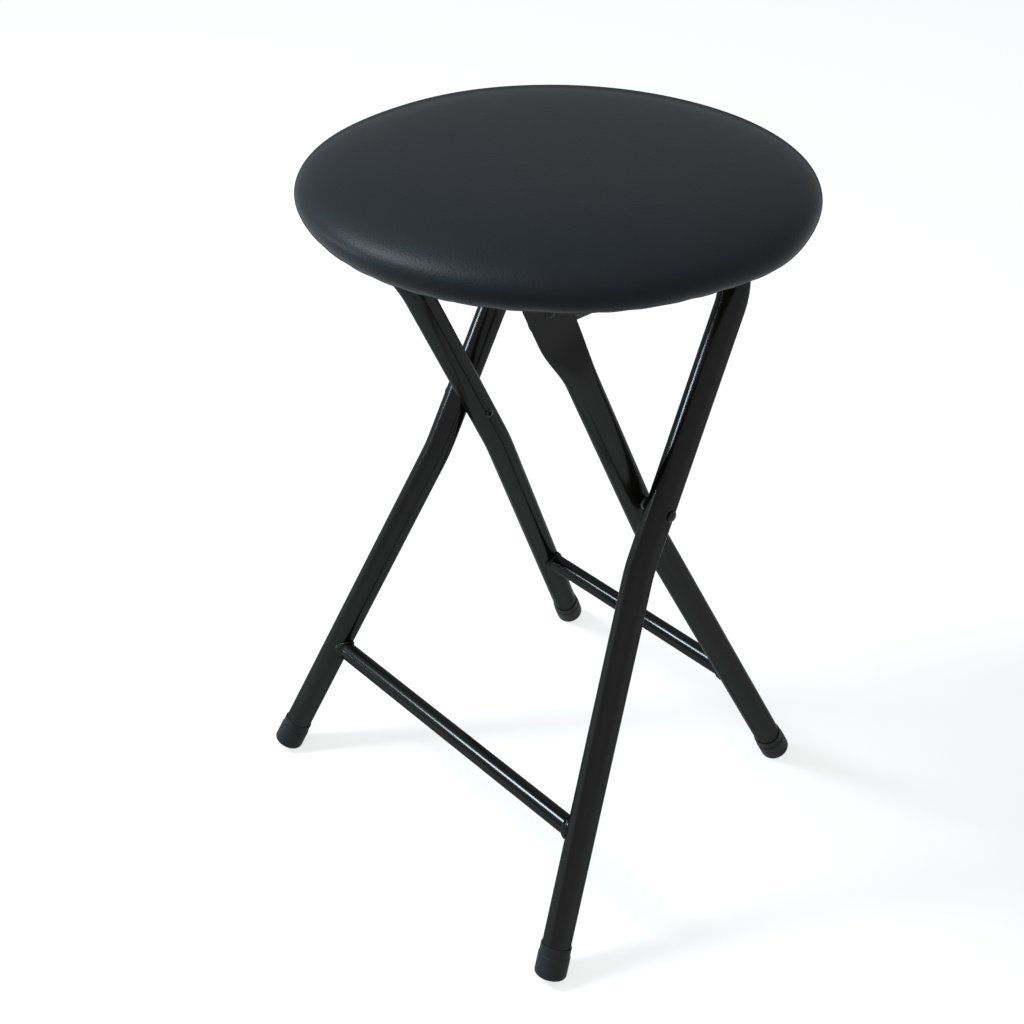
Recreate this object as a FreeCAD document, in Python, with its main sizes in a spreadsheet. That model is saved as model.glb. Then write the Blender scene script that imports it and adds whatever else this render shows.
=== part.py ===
import FreeCAD, Part
import math
import os
import Sketcher

# Folding stool with a round padded seat on two crossed tube frames.
# Frame: origin on the floor under the middle of the seat, +Z up, +X along the pivot line of the
# legs (the user's right), -Y the front, where the seat is hinged. Millimetres and degrees.

document = FreeCAD.newDocument("folding_stool")
sizes = document.addObject("Spreadsheet::Sheet", "Sizes")

driving_sizes = {
    # Seat
    "seat_height": 480,  # floor to the top of the crown
    "seat_diameter": 300,
    "rim_roll": 12,  # radius of the rolled edge
    "crown_rise": 8,  # how far the middle stands above the rolled edge
    "cover_skin": 1,
    "hem_width": 18,  # cover turned in under the board
    "board_thickness": 10,
    "board_edge_break": 0.8,
    "soft_gap": 0.3,  # room left round foam and cover
    # Leg frames
    "tube_diameter": 19,
    "tube_wall": 1.2,
    "leg_lean": 26.25,  # each frame's lean from upright, open
    "hinge_inset": 78,  # seat's front edge to the hinge line
    "rail_inset": 72.5,  # seat's rear edge to the middle of the outer frame's top rail
    "pivot_gap": 3.5,  # between an inner and an outer leg, at the pivot
    "splay_bend_radius": 120,
    "outer_toe": 2.9,  # outer legs close in towards the top
    "outer_splay": 10.5,
    "outer_bend_drop": 40,  # pivot to the splay bend, along the frame
    "outer_bar_drop": 212,
    "top_bend_radius": 46,
    "inner_half_width": 71.5,  # middle of the seat to an inner leg, at the pivot
    "inner_splay": 8.6,
    "inner_bend_drop": 37,
    "inner_bar_drop": 206,
    # Flattened upper ends of the inner legs
    "flat_width": 28.2,
    "flat_offset": 2.7,  # flat set in from the middle of the tube
    "flat_before_hinge": 15,
    "flat_beyond_hinge": 14.5,
    "flat_corner_round": 3,
    "flatten_run": 40,  # length over which the round tube becomes flat
    "flatten_early": 0.28,  # share of the flattening done after a third of that length
    "flatten_late": 0.75,  # and after two thirds
    "flank_angle": 10,  # half the arc of the round tube that becomes a straight flank
    "flatten_slit": 0.6,  # what is left of the bore where it closes
    # Crossbars
    "bar_diameter": 13,
    "bar_wall": 1.2,
    "weld_run": 2.6,
    "weld_rise": 1.3,
    "weld_gap": 0.1,
    # Rubber feet
    "cap_wall": 1.05,
    "cap_length": 22,
    "cap_mouth": 6.5,  # thinner upper part of the cap
    "cap_step": 0.45,  # how far it is set in
    "cap_edge_round": 3,
    "cap_lip_round": 0.4,
    "sole_thickness": 4,
    "sole_flat": 0.5,  # depth of the flat where a foot meets the floor
    "cap_play": 0.1,
    # Rivets of the leg pivots and of the seat hinge
    "rivet_diameter": 5,
    "rivet_play": 0.07,
    "rivet_gap": 0.3,
    "rivet_head_diameter": 7.6,
    "rivet_head_height": 1.6,
    "rivet_tail_diameter": 6.6,
    "rivet_tail_height": 1,
    "rivet_hollow": 3.2,  # bore of the hollow end that is rolled over
    "rivet_hollow_depth": 3.5,
    "spacer_diameter": 9,
    "spacer_bulge": 0.7,  # how far its edges are rounded down
    "washer_diameter": 14,
    "washer_thickness": 0.8,
    "hinge_play": 0.3,
    # Pressed hinge brackets under the seat
    "hinge_drop": 21.7,  # board to the hinge line
    "bracket_sheet": 2,
    "bracket_ear": 11,  # bracket in front of the hinge line
    "bracket_nose_round": 10.5,
    "bracket_below": 13.6,
    "bracket_straight": 46,  # level part of the lower edge behind the hinge line
    "bracket_behind": 116,
    "bracket_tail": 10,
    "bracket_flange": 24,
    "bracket_corner": 7,
    "bracket_bend": 2,
    "bracket_screw_first": 1,  # first screw in front of the hinge line
    "bracket_screw_end": 17,  # last screw to the bracket's rear end
    # Moulded saddles that drop over the outer frame's top rail
    "saddle_drop": 16.3,  # board to the middle of the rail
    "saddle_offset": 26,
    "saddle_width": 24,
    "saddle_wall": 4.5,
    "saddle_lip": 7,
    "saddle_open_angle": 125,  # how far the saddle wraps from its rear wall over the rail
    "saddle_ear": 13,
    "saddle_ear_thickness": 4,
    "saddle_edge_round": 1.5,
    # Pan-head screws
    "screw_diameter": 4,
    "screw_grip": 7,  # thread in the board
    "screw_head_diameter": 8,
    "screw_head_height": 2.6,
    "screw_play": 0.05,
    "screw_hole_play": 0.3,
}

worked_sizes = {
    # Seat section, measured from the seat's underside
    "seat_thickness": "2 * rim_roll + crown_rise",
    "seat_underside": "seat_height - seat_thickness",
    "board_underside": "seat_underside + cover_skin",
    "rim_centre": "seat_diameter / 2 - rim_roll",
    "crown_radius": "(rim_centre^2 + (rim_roll + crown_rise)^2 - rim_roll^2) / (2 * crown_rise)",
    "crown_centre": "seat_thickness - crown_radius",
    "crown_across": "rim_centre / (crown_radius - rim_roll)",
    "crown_along": "(rim_roll - crown_centre) / (crown_radius - rim_roll)",
    "cover_meet": "crown_radius * crown_across",
    "cover_meet_level": "crown_centre + crown_radius * crown_along",
    "lining_top": "seat_thickness - cover_skin",
    "lining_meet": "(crown_radius - cover_skin) * crown_across",
    "lining_meet_level": "crown_centre + (crown_radius - cover_skin) * crown_along",
    "foam_top": "lining_top - soft_gap",
    "foam_meet": "(crown_radius - cover_skin - soft_gap) * crown_across",
    "foam_meet_level": "crown_centre + (crown_radius - cover_skin - soft_gap) * crown_along",
    "foam_lap_level": "cover_skin + soft_gap",
    "hem_inner": "rim_centre - hem_width",
    "board_top": "cover_skin + board_thickness",
    "board_radius": "rim_centre - soft_gap",
    # Where the frames carry the seat, and where they therefore cross
    "hinge_level": "board_underside - hinge_drop",
    "hinge_back": "hinge_inset - seat_diameter / 2",
    "rail_level": "board_underside - saddle_drop",
    "rail_back": "seat_diameter / 2 - rail_inset",
    "pivot_height": "(hinge_level + rail_level - (rail_back - hinge_back) / tan(leg_lean)) / 2",
    "pivot_set_back": "hinge_back + (hinge_level - pivot_height) * tan(leg_lean)",
    "hinge_rise": "(hinge_level - pivot_height) / cos(leg_lean)",
    "rail_rise": "(rail_level - pivot_height) / cos(leg_lean)",
    "outer_half_width": "inner_half_width + tube_diameter + pivot_gap",
    "tube_radius": "tube_diameter / 2",
    "bore_radius": "tube_radius - tube_wall",
    # Rubber feet, along the leg from the sole
    "cap_bore": "tube_radius + cap_play",
    "cap_radius": "cap_bore + cap_wall",
    "cap_flank": "cap_radius - cap_edge_round",
    "cap_shoulder": "cap_length - cap_mouth",
    "cap_shoulder_inside": "cap_radius - cap_step",
    "cap_shoulder_low": "cap_shoulder - cap_step",
    "cap_lip": "cap_shoulder_inside - cap_lip_round",
    "cap_lip_level": "cap_length - cap_lip_round",
    # Outer frame, in its own plane: sideways from the middle, down or up from the pivot
    "outer_upright": "cos(outer_splay) * cos(leg_lean)",
    "outer_tip_level": "cap_edge_round * (1 - outer_upright)"
                       " + cap_flank * sqrt(1 - outer_upright^2) - sole_flat",
    "outer_leg_drop": "(pivot_height - outer_tip_level) / cos(leg_lean)",
    "outer_bend": "outer_half_width + outer_bend_drop * tan(outer_toe)",
    "outer_foot": "outer_bend + (outer_leg_drop - outer_bend_drop) * tan(outer_splay)",
    "outer_end": "outer_foot - sole_thickness * sin(outer_splay)",
    "outer_end_drop": "outer_leg_drop - sole_thickness * cos(outer_splay)",
    "outer_tangent": "splay_bend_radius * tan((outer_splay - outer_toe) / 2)",
    "outer_low": "outer_bend + outer_tangent * sin(outer_splay)",
    "outer_low_drop": "outer_bend_drop + outer_tangent * cos(outer_splay)",
    "outer_high": "outer_bend - outer_tangent * sin(outer_toe)",
    "outer_high_drop": "outer_bend_drop - outer_tangent * cos(outer_toe)",
    "outer_centre": "outer_high + splay_bend_radius * cos(outer_toe)",
    "outer_centre_drop": "outer_high_drop - splay_bend_radius * sin(outer_toe)",
    "top_corner": "outer_half_width - rail_rise * tan(outer_toe)",
    "top_tangent": "top_bend_radius * tan((90 - outer_toe) / 2)",
    "top_low": "top_corner + top_tangent * sin(outer_toe)",
    "top_low_rise": "rail_rise - top_tangent * cos(outer_toe)",
    "rail_end": "top_corner - top_tangent",
    "top_centre_rise": "rail_rise - top_bend_radius",
    # Inner frame, in its own plane
    "inner_upright": "cos(inner_splay) * cos(leg_lean)",
    "inner_tip_level": "cap_edge_round * (1 - inner_upright)"
                       " + cap_flank * sqrt(1 - inner_upright^2) - sole_flat",
    "inner_leg_drop": "(pivot_height - inner_tip_level) / cos(leg_lean)",
    "inner_foot": "inner_half_width + (inner_leg_drop - inner_bend_drop) * tan(inner_splay)",
    "inner_end": "inner_foot - sole_thickness * sin(inner_splay)",
    "inner_end_drop": "inner_leg_drop - sole_thickness * cos(inner_splay)",
    "inner_tangent": "splay_bend_radius * tan(inner_splay / 2)",
    "inner_low": "inner_half_width + inner_tangent * sin(inner_splay)",
    "inner_low_drop": "inner_bend_drop + inner_tangent * cos(inner_splay)",
    "inner_high_drop": "inner_bend_drop - inner_tangent",
    "inner_centre": "inner_half_width + splay_bend_radius",
    "flat_thickness": "2 * tube_wall + flatten_slit",
    "flat_start": "hinge_rise - flat_before_hinge",
    "flat_length": "flat_before_hinge + flat_beyond_hinge",
    "flatten_start": "flat_start - flatten_run",
    "flat_end": "flat_start + flat_length",
    "flat_end_inside": "flat_end - flat_corner_round",
    "flat_end_past": "flat_end + flat_corner_round",
    "flat_half": "flat_width / 2",
    "flat_half_inside": "flat_half - flat_corner_round",
    "flat_half_past": "flat_half + flat_corner_round",
    "flat_centre": "inner_half_width - flat_offset",
    "flat_outer": "flat_centre + flat_thickness / 2",
    "flat_inner": "flat_centre - flat_thickness / 2",
    "flat_flank": "flat_half - flat_thickness / 2",
    "slit_centre": "flat_centre",
    "slit_outer": "flat_centre + flatten_slit / 2",
    "slit_inner": "flat_centre - flatten_slit / 2",
    "slit_flank": "flat_flank",
    "early_level": "flatten_start + flatten_run / 3",
    "early_centre": "inner_half_width - flat_offset * flatten_early",
    "early_fold": "tube_radius - (tube_radius - flat_thickness / 2) * flatten_early",
    "early_half": "tube_radius + (flat_half - tube_radius) * flatten_early",
    "early_outer": "early_centre + early_fold",
    "early_inner": "early_centre - early_fold",
    "early_flank": "early_half - early_fold",
    "early_bore_centre": "early_centre",
    "early_bore_outer": "early_outer - tube_wall",
    "early_bore_inner": "early_inner + tube_wall",
    "early_bore_flank": "early_flank",
    "late_level": "flat_start - flatten_run / 3",
    "late_centre": "inner_half_width - flat_offset * flatten_late",
    "late_fold": "tube_radius - (tube_radius - flat_thickness / 2) * flatten_late",
    "late_half": "tube_radius + (flat_half - tube_radius) * flatten_late",
    "late_outer": "late_centre + late_fold",
    "late_inner": "late_centre - late_fold",
    "late_flank": "late_half - late_fold",
    "late_bore_centre": "late_centre",
    "late_bore_outer": "late_outer - tube_wall",
    "late_bore_inner": "late_inner + tube_wall",
    "late_bore_flank": "late_flank",
    "ring_corner": "tube_radius * sin(flank_angle)",
    "ring_outer": "inner_half_width + tube_radius * cos(flank_angle)",
    "ring_inner": "inner_half_width - tube_radius * cos(flank_angle)",
    "bore_corner": "bore_radius * sin(flank_angle)",
    "bore_outer": "inner_half_width + bore_radius * cos(flank_angle)",
    "bore_inner": "inner_half_width - bore_radius * cos(flank_angle)",
    # Crossbars
    "bar_radius": "bar_diameter / 2",
    "bar_bore": "bar_radius - bar_wall",
    "weld_radius": "bar_radius + weld_rise",
    "weld_cut": "tube_radius + weld_gap",
    "outer_straight": "(outer_leg_drop - outer_low_drop) / cos(outer_splay)",
    "inner_straight": "(inner_leg_drop - inner_low_drop) / cos(inner_splay)",
    "outer_bar_reach": "outer_bend + (outer_bar_drop - outer_bend_drop) * tan(outer_splay)",
    "outer_weld": "outer_bar_reach - tube_radius / cos(outer_splay)",
    "outer_weld_start": "outer_weld - weld_run",
    "inner_bar_reach": "inner_half_width + (inner_bar_drop - inner_bend_drop) * tan(inner_splay)",
    "inner_weld": "inner_bar_reach - tube_radius / cos(inner_splay)",
    "inner_weld_start": "inner_weld - weld_run",
    # Rivets, spacers and washers, sideways from the middle
    "rivet_radius": "rivet_diameter / 2",
    "rivet_hole": "rivet_radius + rivet_play",
    "head_radius": "rivet_head_diameter / 2",
    "head_dome": "(head_radius^2 + rivet_head_height^2) / (2 * rivet_head_height)",
    "tail_radius": "rivet_tail_diameter / 2",
    "tail_dome": "(tail_radius^2 + rivet_tail_height^2) / (2 * rivet_tail_height)",
    "hollow_radius": "rivet_hollow / 2",
    "tail_mouth_in": "sqrt(tail_dome^2 - hollow_radius^2)",
    "pivot_head": "outer_half_width + tube_radius / cos(outer_toe)"
                  " + head_radius * tan(outer_toe) + rivet_gap",
    "pivot_head_tip": "pivot_head + rivet_head_height",
    "pivot_head_centre": "pivot_head_tip - head_dome",
    "pivot_tail": "inner_half_width - tube_radius - rivet_gap",
    "pivot_tail_tip": "pivot_tail - rivet_tail_height",
    "pivot_tail_centre": "pivot_tail_tip + tail_dome",
    "pivot_tail_mouth": "pivot_tail_centre - tail_mouth_in",
    "pivot_tail_bottom": "pivot_tail_mouth + rivet_hollow_depth",
    "spacer_radius": "spacer_diameter / 2",
    "spacer_edge": "spacer_radius - spacer_bulge",
    "spacer_start": "inner_half_width + tube_radius + rivet_gap",
    "spacer_end": "outer_half_width - tube_radius / cos(outer_toe)"
                  " - spacer_radius * tan(outer_toe) - rivet_gap",
    "spacer_middle": "(spacer_start + spacer_end) / 2",
    "spacer_arc": "(((spacer_end - spacer_start) / 2)^2 + spacer_bulge^2) / (2 * spacer_bulge)",
    "spacer_arc_centre": "spacer_radius - spacer_arc",
    "hinge_head": "flat_outer + rivet_gap",
    "hinge_head_tip": "hinge_head + rivet_head_height",
    "hinge_head_centre": "hinge_head_tip - head_dome",
    "washer_radius": "washer_diameter / 2",
    "web_outer": "flat_inner - hinge_play - washer_thickness",
    "web_inner": "web_outer - bracket_sheet",
    "hinge_tail_tip": "web_inner - rivet_tail_height",
    "hinge_tail_centre": "hinge_tail_tip + tail_dome",
    "hinge_tail_mouth": "hinge_tail_centre - tail_mouth_in",
    "hinge_tail_bottom": "hinge_tail_mouth + rivet_hollow_depth",
    # Brackets, measured from the hinge line
    "flange_inner": "web_outer - bracket_flange",
    "tail_low": "hinge_drop - bracket_tail",
    "flange_low": "hinge_drop - bracket_sheet",
    "flange_screw": "web_outer - (bracket_flange + bracket_sheet + bracket_bend) / 2",
    "screw_hole": "screw_diameter / 2 + screw_hole_play",
    "bracket_screw_span": "bracket_screw_first + bracket_behind - bracket_screw_end",
    "bracket_screw_pitch": "bracket_screw_span / 2",
    "bend_outside": "bracket_bend + bracket_sheet",
    # Saddles, measured from the middle of the rail
    "saddle_inside": "tube_radius + soft_gap",
    "saddle_outside": "saddle_inside + saddle_wall",
    "saddle_tail": "saddle_outside + saddle_ear",
    "saddle_ear_low": "saddle_drop - saddle_ear_thickness",
    "saddle_nose": "saddle_inside * cos(saddle_open_angle)",
    "saddle_nose_level": "saddle_inside * sin(saddle_open_angle)",
    "saddle_screw": "saddle_outside + saddle_ear / 2",
    "saddle_start": "saddle_offset - saddle_width / 2",
    # Screw holes in the board, behind the middle of the seat
    "bracket_hole_front": "hinge_back - bracket_screw_first",
    "bracket_hole_middle": "bracket_hole_front + bracket_screw_pitch",
    "bracket_hole_rear": "bracket_hole_middle + bracket_screw_pitch",
    "saddle_hole_front": "rail_back - saddle_screw",
    "saddle_hole_rear": "rail_back + saddle_screw",
    # Screws, measured from the face that the head seats on
    "screw_radius": "screw_diameter / 2",
    "pilot_radius": "screw_radius + screw_play",
    "pilot_depth": "screw_grip + screw_hole_play",
    "pan_radius": "screw_head_diameter / 2",
    "pan_dome": "(pan_radius^2 + screw_head_height^2) / (2 * screw_head_height)",
    "pan_centre": "pan_dome - screw_head_height",
    "bracket_screw_reach": "bracket_sheet + screw_grip",
    "saddle_screw_reach": "saddle_ear_thickness + screw_grip",
}

row = 0
for alias, number in driving_sizes.items():
    row += 1
    sizes.set("A%d" % row, alias)
    sizes.set("B%d" % row, str(number))
    sizes.setAlias("B%d" % row, alias)
for alias, formula in worked_sizes.items():
    row += 1
    sizes.set("A%d" % row, alias)
    sizes.set("B%d" % row, "=" + formula)
    sizes.setAlias("B%d" % row, alias)
document.recompute()


def amount(term):
    """The number behind a size's name; a leading minus turns it round, and 0 is 0."""
    if term == "0":
        return 0.0
    if term.startswith("-"):
        return -amount(term[1:])
    return float(sizes.get(term))


def bound(term):
    """The same size as an expression on the sheet."""
    if term.startswith("-"):
        return "-Sizes." + term[1:]
    return "Sizes." + term


def new_body(label):
    body = document.addObject("PartDesign::Body", label)
    body.Label = label
    return body


def sketch_on(body, plane, lift=None):
    """A sketch on one of the body's own origin planes, lifted off it by a named size."""
    sketch = body.newObject("Sketcher::SketchObject", "Sketch")
    for feature in body.Origin.OriginFeatures:
        if feature.Role == plane:
            sketch.AttachmentSupport = [(feature, "")]
    sketch.MapMode = "FlatFace"
    if lift:
        sketch.setExpression("AttachmentOffset.Base.z", bound(lift))
    return sketch


def hold(sketch, geometry, end, x=None, y=None):
    """Holds one point of a sketch to named sizes, counted from the sketch's origin."""
    for kind, term, axis in (("DistanceX", x, -2), ("DistanceY", y, -1)):
        if term is None:
            continue
        if term == "0":
            sketch.addConstraint(Sketcher.Constraint("PointOnObject", geometry, end, axis))
            continue
        index = sketch.addConstraint(Sketcher.Constraint(kind, -1, 1, geometry, end, amount(term)))
        sketch.setExpression("Constraints[%d]" % index, bound(term))


def circle(sketch, radius, x="0", y="0"):
    """A full circle of a named radius about a named point."""
    middle = FreeCAD.Vector(amount(x), amount(y), 0)
    upward = FreeCAD.Vector(0, 0, 1)
    geometry = sketch.addGeometry(Part.Circle(middle, upward, amount(radius)), False)
    hold(sketch, geometry, 3, x, y)
    index = sketch.addConstraint(Sketcher.Constraint("Radius", geometry, amount(radius)))
    sketch.setExpression("Constraints[%d]" % index, bound(radius))


class Outline:
    """A run of straight lines and arcs through corners that are held to named sizes."""

    def __init__(self, sketch, x, y):
        self.sketch = sketch
        self.first = (x, y)
        self.here = (x, y)
        self.first_end = None
        self.last_end = None

    def place(self, corner):
        return FreeCAD.Vector(amount(corner[0]), amount(corner[1]), 0)

    def join(self, geometry, start_end, finish_end, corner, closing):
        sketch = self.sketch
        if self.last_end is None:
            self.first_end = (geometry, start_end)
            hold(sketch, geometry, start_end, *self.first)
        else:
            sketch.addConstraint(Sketcher.Constraint("Coincident", *self.last_end, geometry, start_end))
        if closing:
            sketch.addConstraint(Sketcher.Constraint("Coincident", geometry, finish_end, *self.first_end))
        else:
            hold(sketch, geometry, finish_end, *corner)
        self.last_end = (geometry, finish_end)
        self.here = corner

    def line(self, x, y, closing=False):
        segment = Part.LineSegment(self.place(self.here), self.place((x, y)))
        geometry = self.sketch.addGeometry(segment, False)
        self.join(geometry, 1, 2, (x, y), closing)
        return self

    def arc(self, x, y, centre_x, centre_y, clockwise=False, closing=False):
        start = self.place(self.here)
        finish = self.place((x, y))
        centre = self.place((centre_x, centre_y))
        ends = [start, finish]
        if clockwise:
            ends.reverse()
        angles = [math.atan2(end.y - centre.y, end.x - centre.x) for end in ends]
        whole = Part.Circle(centre, FreeCAD.Vector(0, 0, 1), (start - centre).Length)
        geometry = self.sketch.addGeometry(Part.ArcOfCircle(whole, *angles), False)
        numbers = (2, 1) if clockwise else (1, 2)
        self.join(geometry, *numbers, (x, y), closing)
        # The ends leave one freedom, along the line that halves the arc.
        if abs(finish.y - start.y) > abs(finish.x - start.x):
            hold(self.sketch, geometry, 3, x=centre_x)
        else:
            hold(self.sketch, geometry, 3, y=centre_y)
        return self

    def close(self):
        return self.line(*self.first, closing=True)


def pad(body, sketch, length):
    feature = body.newObject("PartDesign::Pad", "Pad")
    feature.Profile = sketch
    feature.setExpression("Length", bound(length))
    document.recompute()
    return feature


def pocket_through(body, sketch):
    """Cuts the sketch through the whole body, both ways from its plane."""
    before = body.Shape.Volume
    feature = body.newObject("PartDesign::Pocket", "Pocket")
    feature.Profile = sketch
    feature.Type = "ThroughAll"
    feature.SideType = "Symmetric"
    document.recompute()
    if body.Shape.Volume >= before:
        raise RuntimeError("a cut in %s removes nothing" % body.Label)
    return feature


def turn(body, sketch, axis):
    """Turns a section once round one of its sketch's axes."""
    feature = body.newObject("PartDesign::Revolution", "Revolution")
    feature.Profile = sketch
    feature.ReferenceAxis = (sketch, [axis])
    feature.Angle = 360
    document.recompute()
    return feature


def round_edges(body, radius, chosen):
    """Rounds the edges of the body's shape that the chosen test picks out."""
    base = body.Tip
    names = ["Edge%d" % (n + 1) for n, edge in enumerate(base.Shape.Edges) if chosen(edge)]
    if not names:
        raise RuntimeError("no edge to round on %s" % body.Label)
    feature = body.newObject("PartDesign::Fillet", "Fillet")
    feature.Base = (base, names)
    feature.setExpression("Radius", bound(radius))
    document.recompute()
    return feature


def put(piece, x=None, y=None, z=None):
    """Moves a piece to a place given by named sizes."""
    for axis, term in (("x", x), ("y", y), ("z", z)):
        if term:
            piece.setExpression("Placement.Base." + axis, bound(term))


def lean_on_pivot(piece, lean):
    """Puts a piece drawn in a leg frame's own plane where the open frame stands."""
    leaned = FreeCAD.Rotation(FreeCAD.Vector(1, 0, 0), amount(lean))
    piece.Placement = FreeCAD.Placement(FreeCAD.Vector(), leaned)
    piece.setExpression("Placement.Rotation.Angle", bound(lean))
    put(piece, y="pivot_set_back", z="pivot_height")


def mirrored(piece, label):
    """The left-hand twin of a right-hand piece."""
    twin = document.addObject("Part::Mirroring", label)
    twin.Label = label
    twin.Source = piece
    twin.Normal = FreeCAD.Vector(1, 0, 0)
    return twin


def near(value, term):
    return abs(value - amount(term)) < 0.01


BRACKET_HOLES = ("bracket_hole_front", "bracket_hole_middle", "bracket_hole_rear")
SADDLE_HOLES = ("saddle_hole_front", "saddle_hole_rear")


# Seat: a plywood disc, a foam pad that laps over its edge, and a vinyl cover drawn round both.

def seat_board():
    body = new_body("seat_board")
    disc = sketch_on(body, "XY_Plane")
    circle(disc, "board_radius")
    pad(body, disc, "board_thickness")
    holes = sketch_on(body, "XY_Plane")
    for side in ("", "-"):
        for place in BRACKET_HOLES:
            circle(holes, "pilot_radius", side + "flange_screw", place)
        for place in SADDLE_HOLES:
            circle(holes, "pilot_radius", side + "saddle_offset", place)
    before = body.Shape.Volume
    cut = body.newObject("PartDesign::Pocket", "Pilots")
    cut.Profile = holes
    cut.Reversed = True
    cut.setExpression("Length", bound("pilot_depth"))
    document.recompute()
    if body.Shape.Volume >= before:
        raise RuntimeError("the pilot holes remove nothing")
    rim = body.newObject("PartDesign::Chamfer", "EdgeBreak")
    outer = [n for n, edge in enumerate(cut.Shape.Edges) if edge.Length > math.pi * amount("board_radius")]
    rim.Base = (cut, ["Edge%d" % (n + 1) for n in outer])
    rim.setExpression("Size", bound("board_edge_break"))
    put(body, z="board_underside")
    return body


def seat_foam():
    body = new_body("seat_foam")
    section = sketch_on(body, "XZ_Plane")
    run = Outline(section, "0", "board_top")
    run.line("rim_centre", "board_top")
    run.line("rim_centre", "foam_lap_level")
    run.arc("foam_meet", "foam_meet_level", "rim_centre", "rim_roll")
    run.arc("0", "foam_top", "0", "crown_centre")
    run.close()
    turn(body, section, "V_Axis")
    put(body, z="seat_underside")
    return body


def seat_cover():
    body = new_body("seat_cover")
    section = sketch_on(body, "XZ_Plane")
    run = Outline(section, "hem_inner", "0")
    run.line("rim_centre", "0")
    run.arc("cover_meet", "cover_meet_level", "rim_centre", "rim_roll")
    run.arc("0", "seat_thickness", "0", "crown_centre")
    run.line("0", "lining_top")
    run.arc("lining_meet", "lining_meet_level", "0", "crown_centre", clockwise=True)
    run.arc("rim_centre", "cover_skin", "rim_centre", "rim_roll", clockwise=True)
    run.line("hem_inner", "cover_skin")
    run.close()
    turn(body, section, "V_Axis")
    put(body, z="seat_underside")
    return body


# Leg frames: each is drawn flat in its own plane, the pivot line through its origin, then leaned.

def tube_along(body, path, edges):
    """Draws the leg tube's ring along a path of straight runs and bends."""
    ring = body.newObject("Sketcher::SketchObject", "Ring")
    ring.AttachmentSupport = [(path, "Edge1")]
    ring.MapMode = "NormalToEdge"
    document.recompute()
    circle(ring, "tube_radius")
    circle(ring, "bore_radius")
    document.recompute()
    tube = body.newObject("PartDesign::AdditivePipe", "Tube")
    tube.Profile = ring
    tube.Spine = (path, ["Edge%d" % (n + 1) for n in range(edges)])
    document.recompute()


def cross_hole(body, level):
    """A hole for a rivet, straight through the body along the pivot line's direction."""
    hole = sketch_on(body, "YZ_Plane")
    circle(hole, "rivet_hole", "0", level)
    pocket_through(body, hole)


def outer_frame_tube():
    """One tube bent into an upside-down U: both outer legs and the rail that carries the seat."""
    body = new_body("outer_frame_tube")
    path = sketch_on(body, "XZ_Plane")
    run = Outline(path, "outer_end", "-outer_end_drop")
    run.line("outer_low", "-outer_low_drop")
    run.arc("outer_high", "-outer_high_drop", "outer_centre", "-outer_centre_drop", clockwise=True)
    run.line("top_low", "top_low_rise")
    run.arc("rail_end", "rail_rise", "rail_end", "top_centre_rise")
    run.line("-rail_end", "rail_rise")
    run.arc("-top_low", "top_low_rise", "-rail_end", "top_centre_rise")
    run.line("-outer_high", "-outer_high_drop")
    run.arc("-outer_low", "-outer_low_drop", "-outer_centre", "-outer_centre_drop", clockwise=True)
    run.line("-outer_end", "-outer_end_drop")
    document.recompute()
    tube_along(body, path, 9)
    cross_hole(body, "0")
    lean_on_pivot(body, "-leg_lean")
    return body


def round_section(body, level, outer, inner, corner):
    """The round tube's section in four arcs, one for each side of the flattened section."""
    sketch = sketch_on(body, "XY_Plane", level)
    run = Outline(sketch, outer, "-" + corner)
    run.arc(outer, corner, "inner_half_width", "0")
    run.arc(inner, corner, "inner_half_width", "0")
    run.arc(inner, "-" + corner, "inner_half_width", "0")
    run.arc(outer, "-" + corner, "inner_half_width", "0", closing=True)
    return sketch


def flat_section(body, level, stage):
    """The tube's section at one stage of flattening: two straight flanks and two round folds."""
    outer, inner, flank, centre = (stage + end for end in ("_outer", "_inner", "_flank", "_centre"))
    sketch = sketch_on(body, "XY_Plane", level)
    run = Outline(sketch, outer, "-" + flank)
    run.line(outer, flank)
    run.arc(inner, flank, centre, flank)
    run.line(inner, "-" + flank)
    run.arc(outer, "-" + flank, centre, "-" + flank, closing=True)
    return sketch


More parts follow.
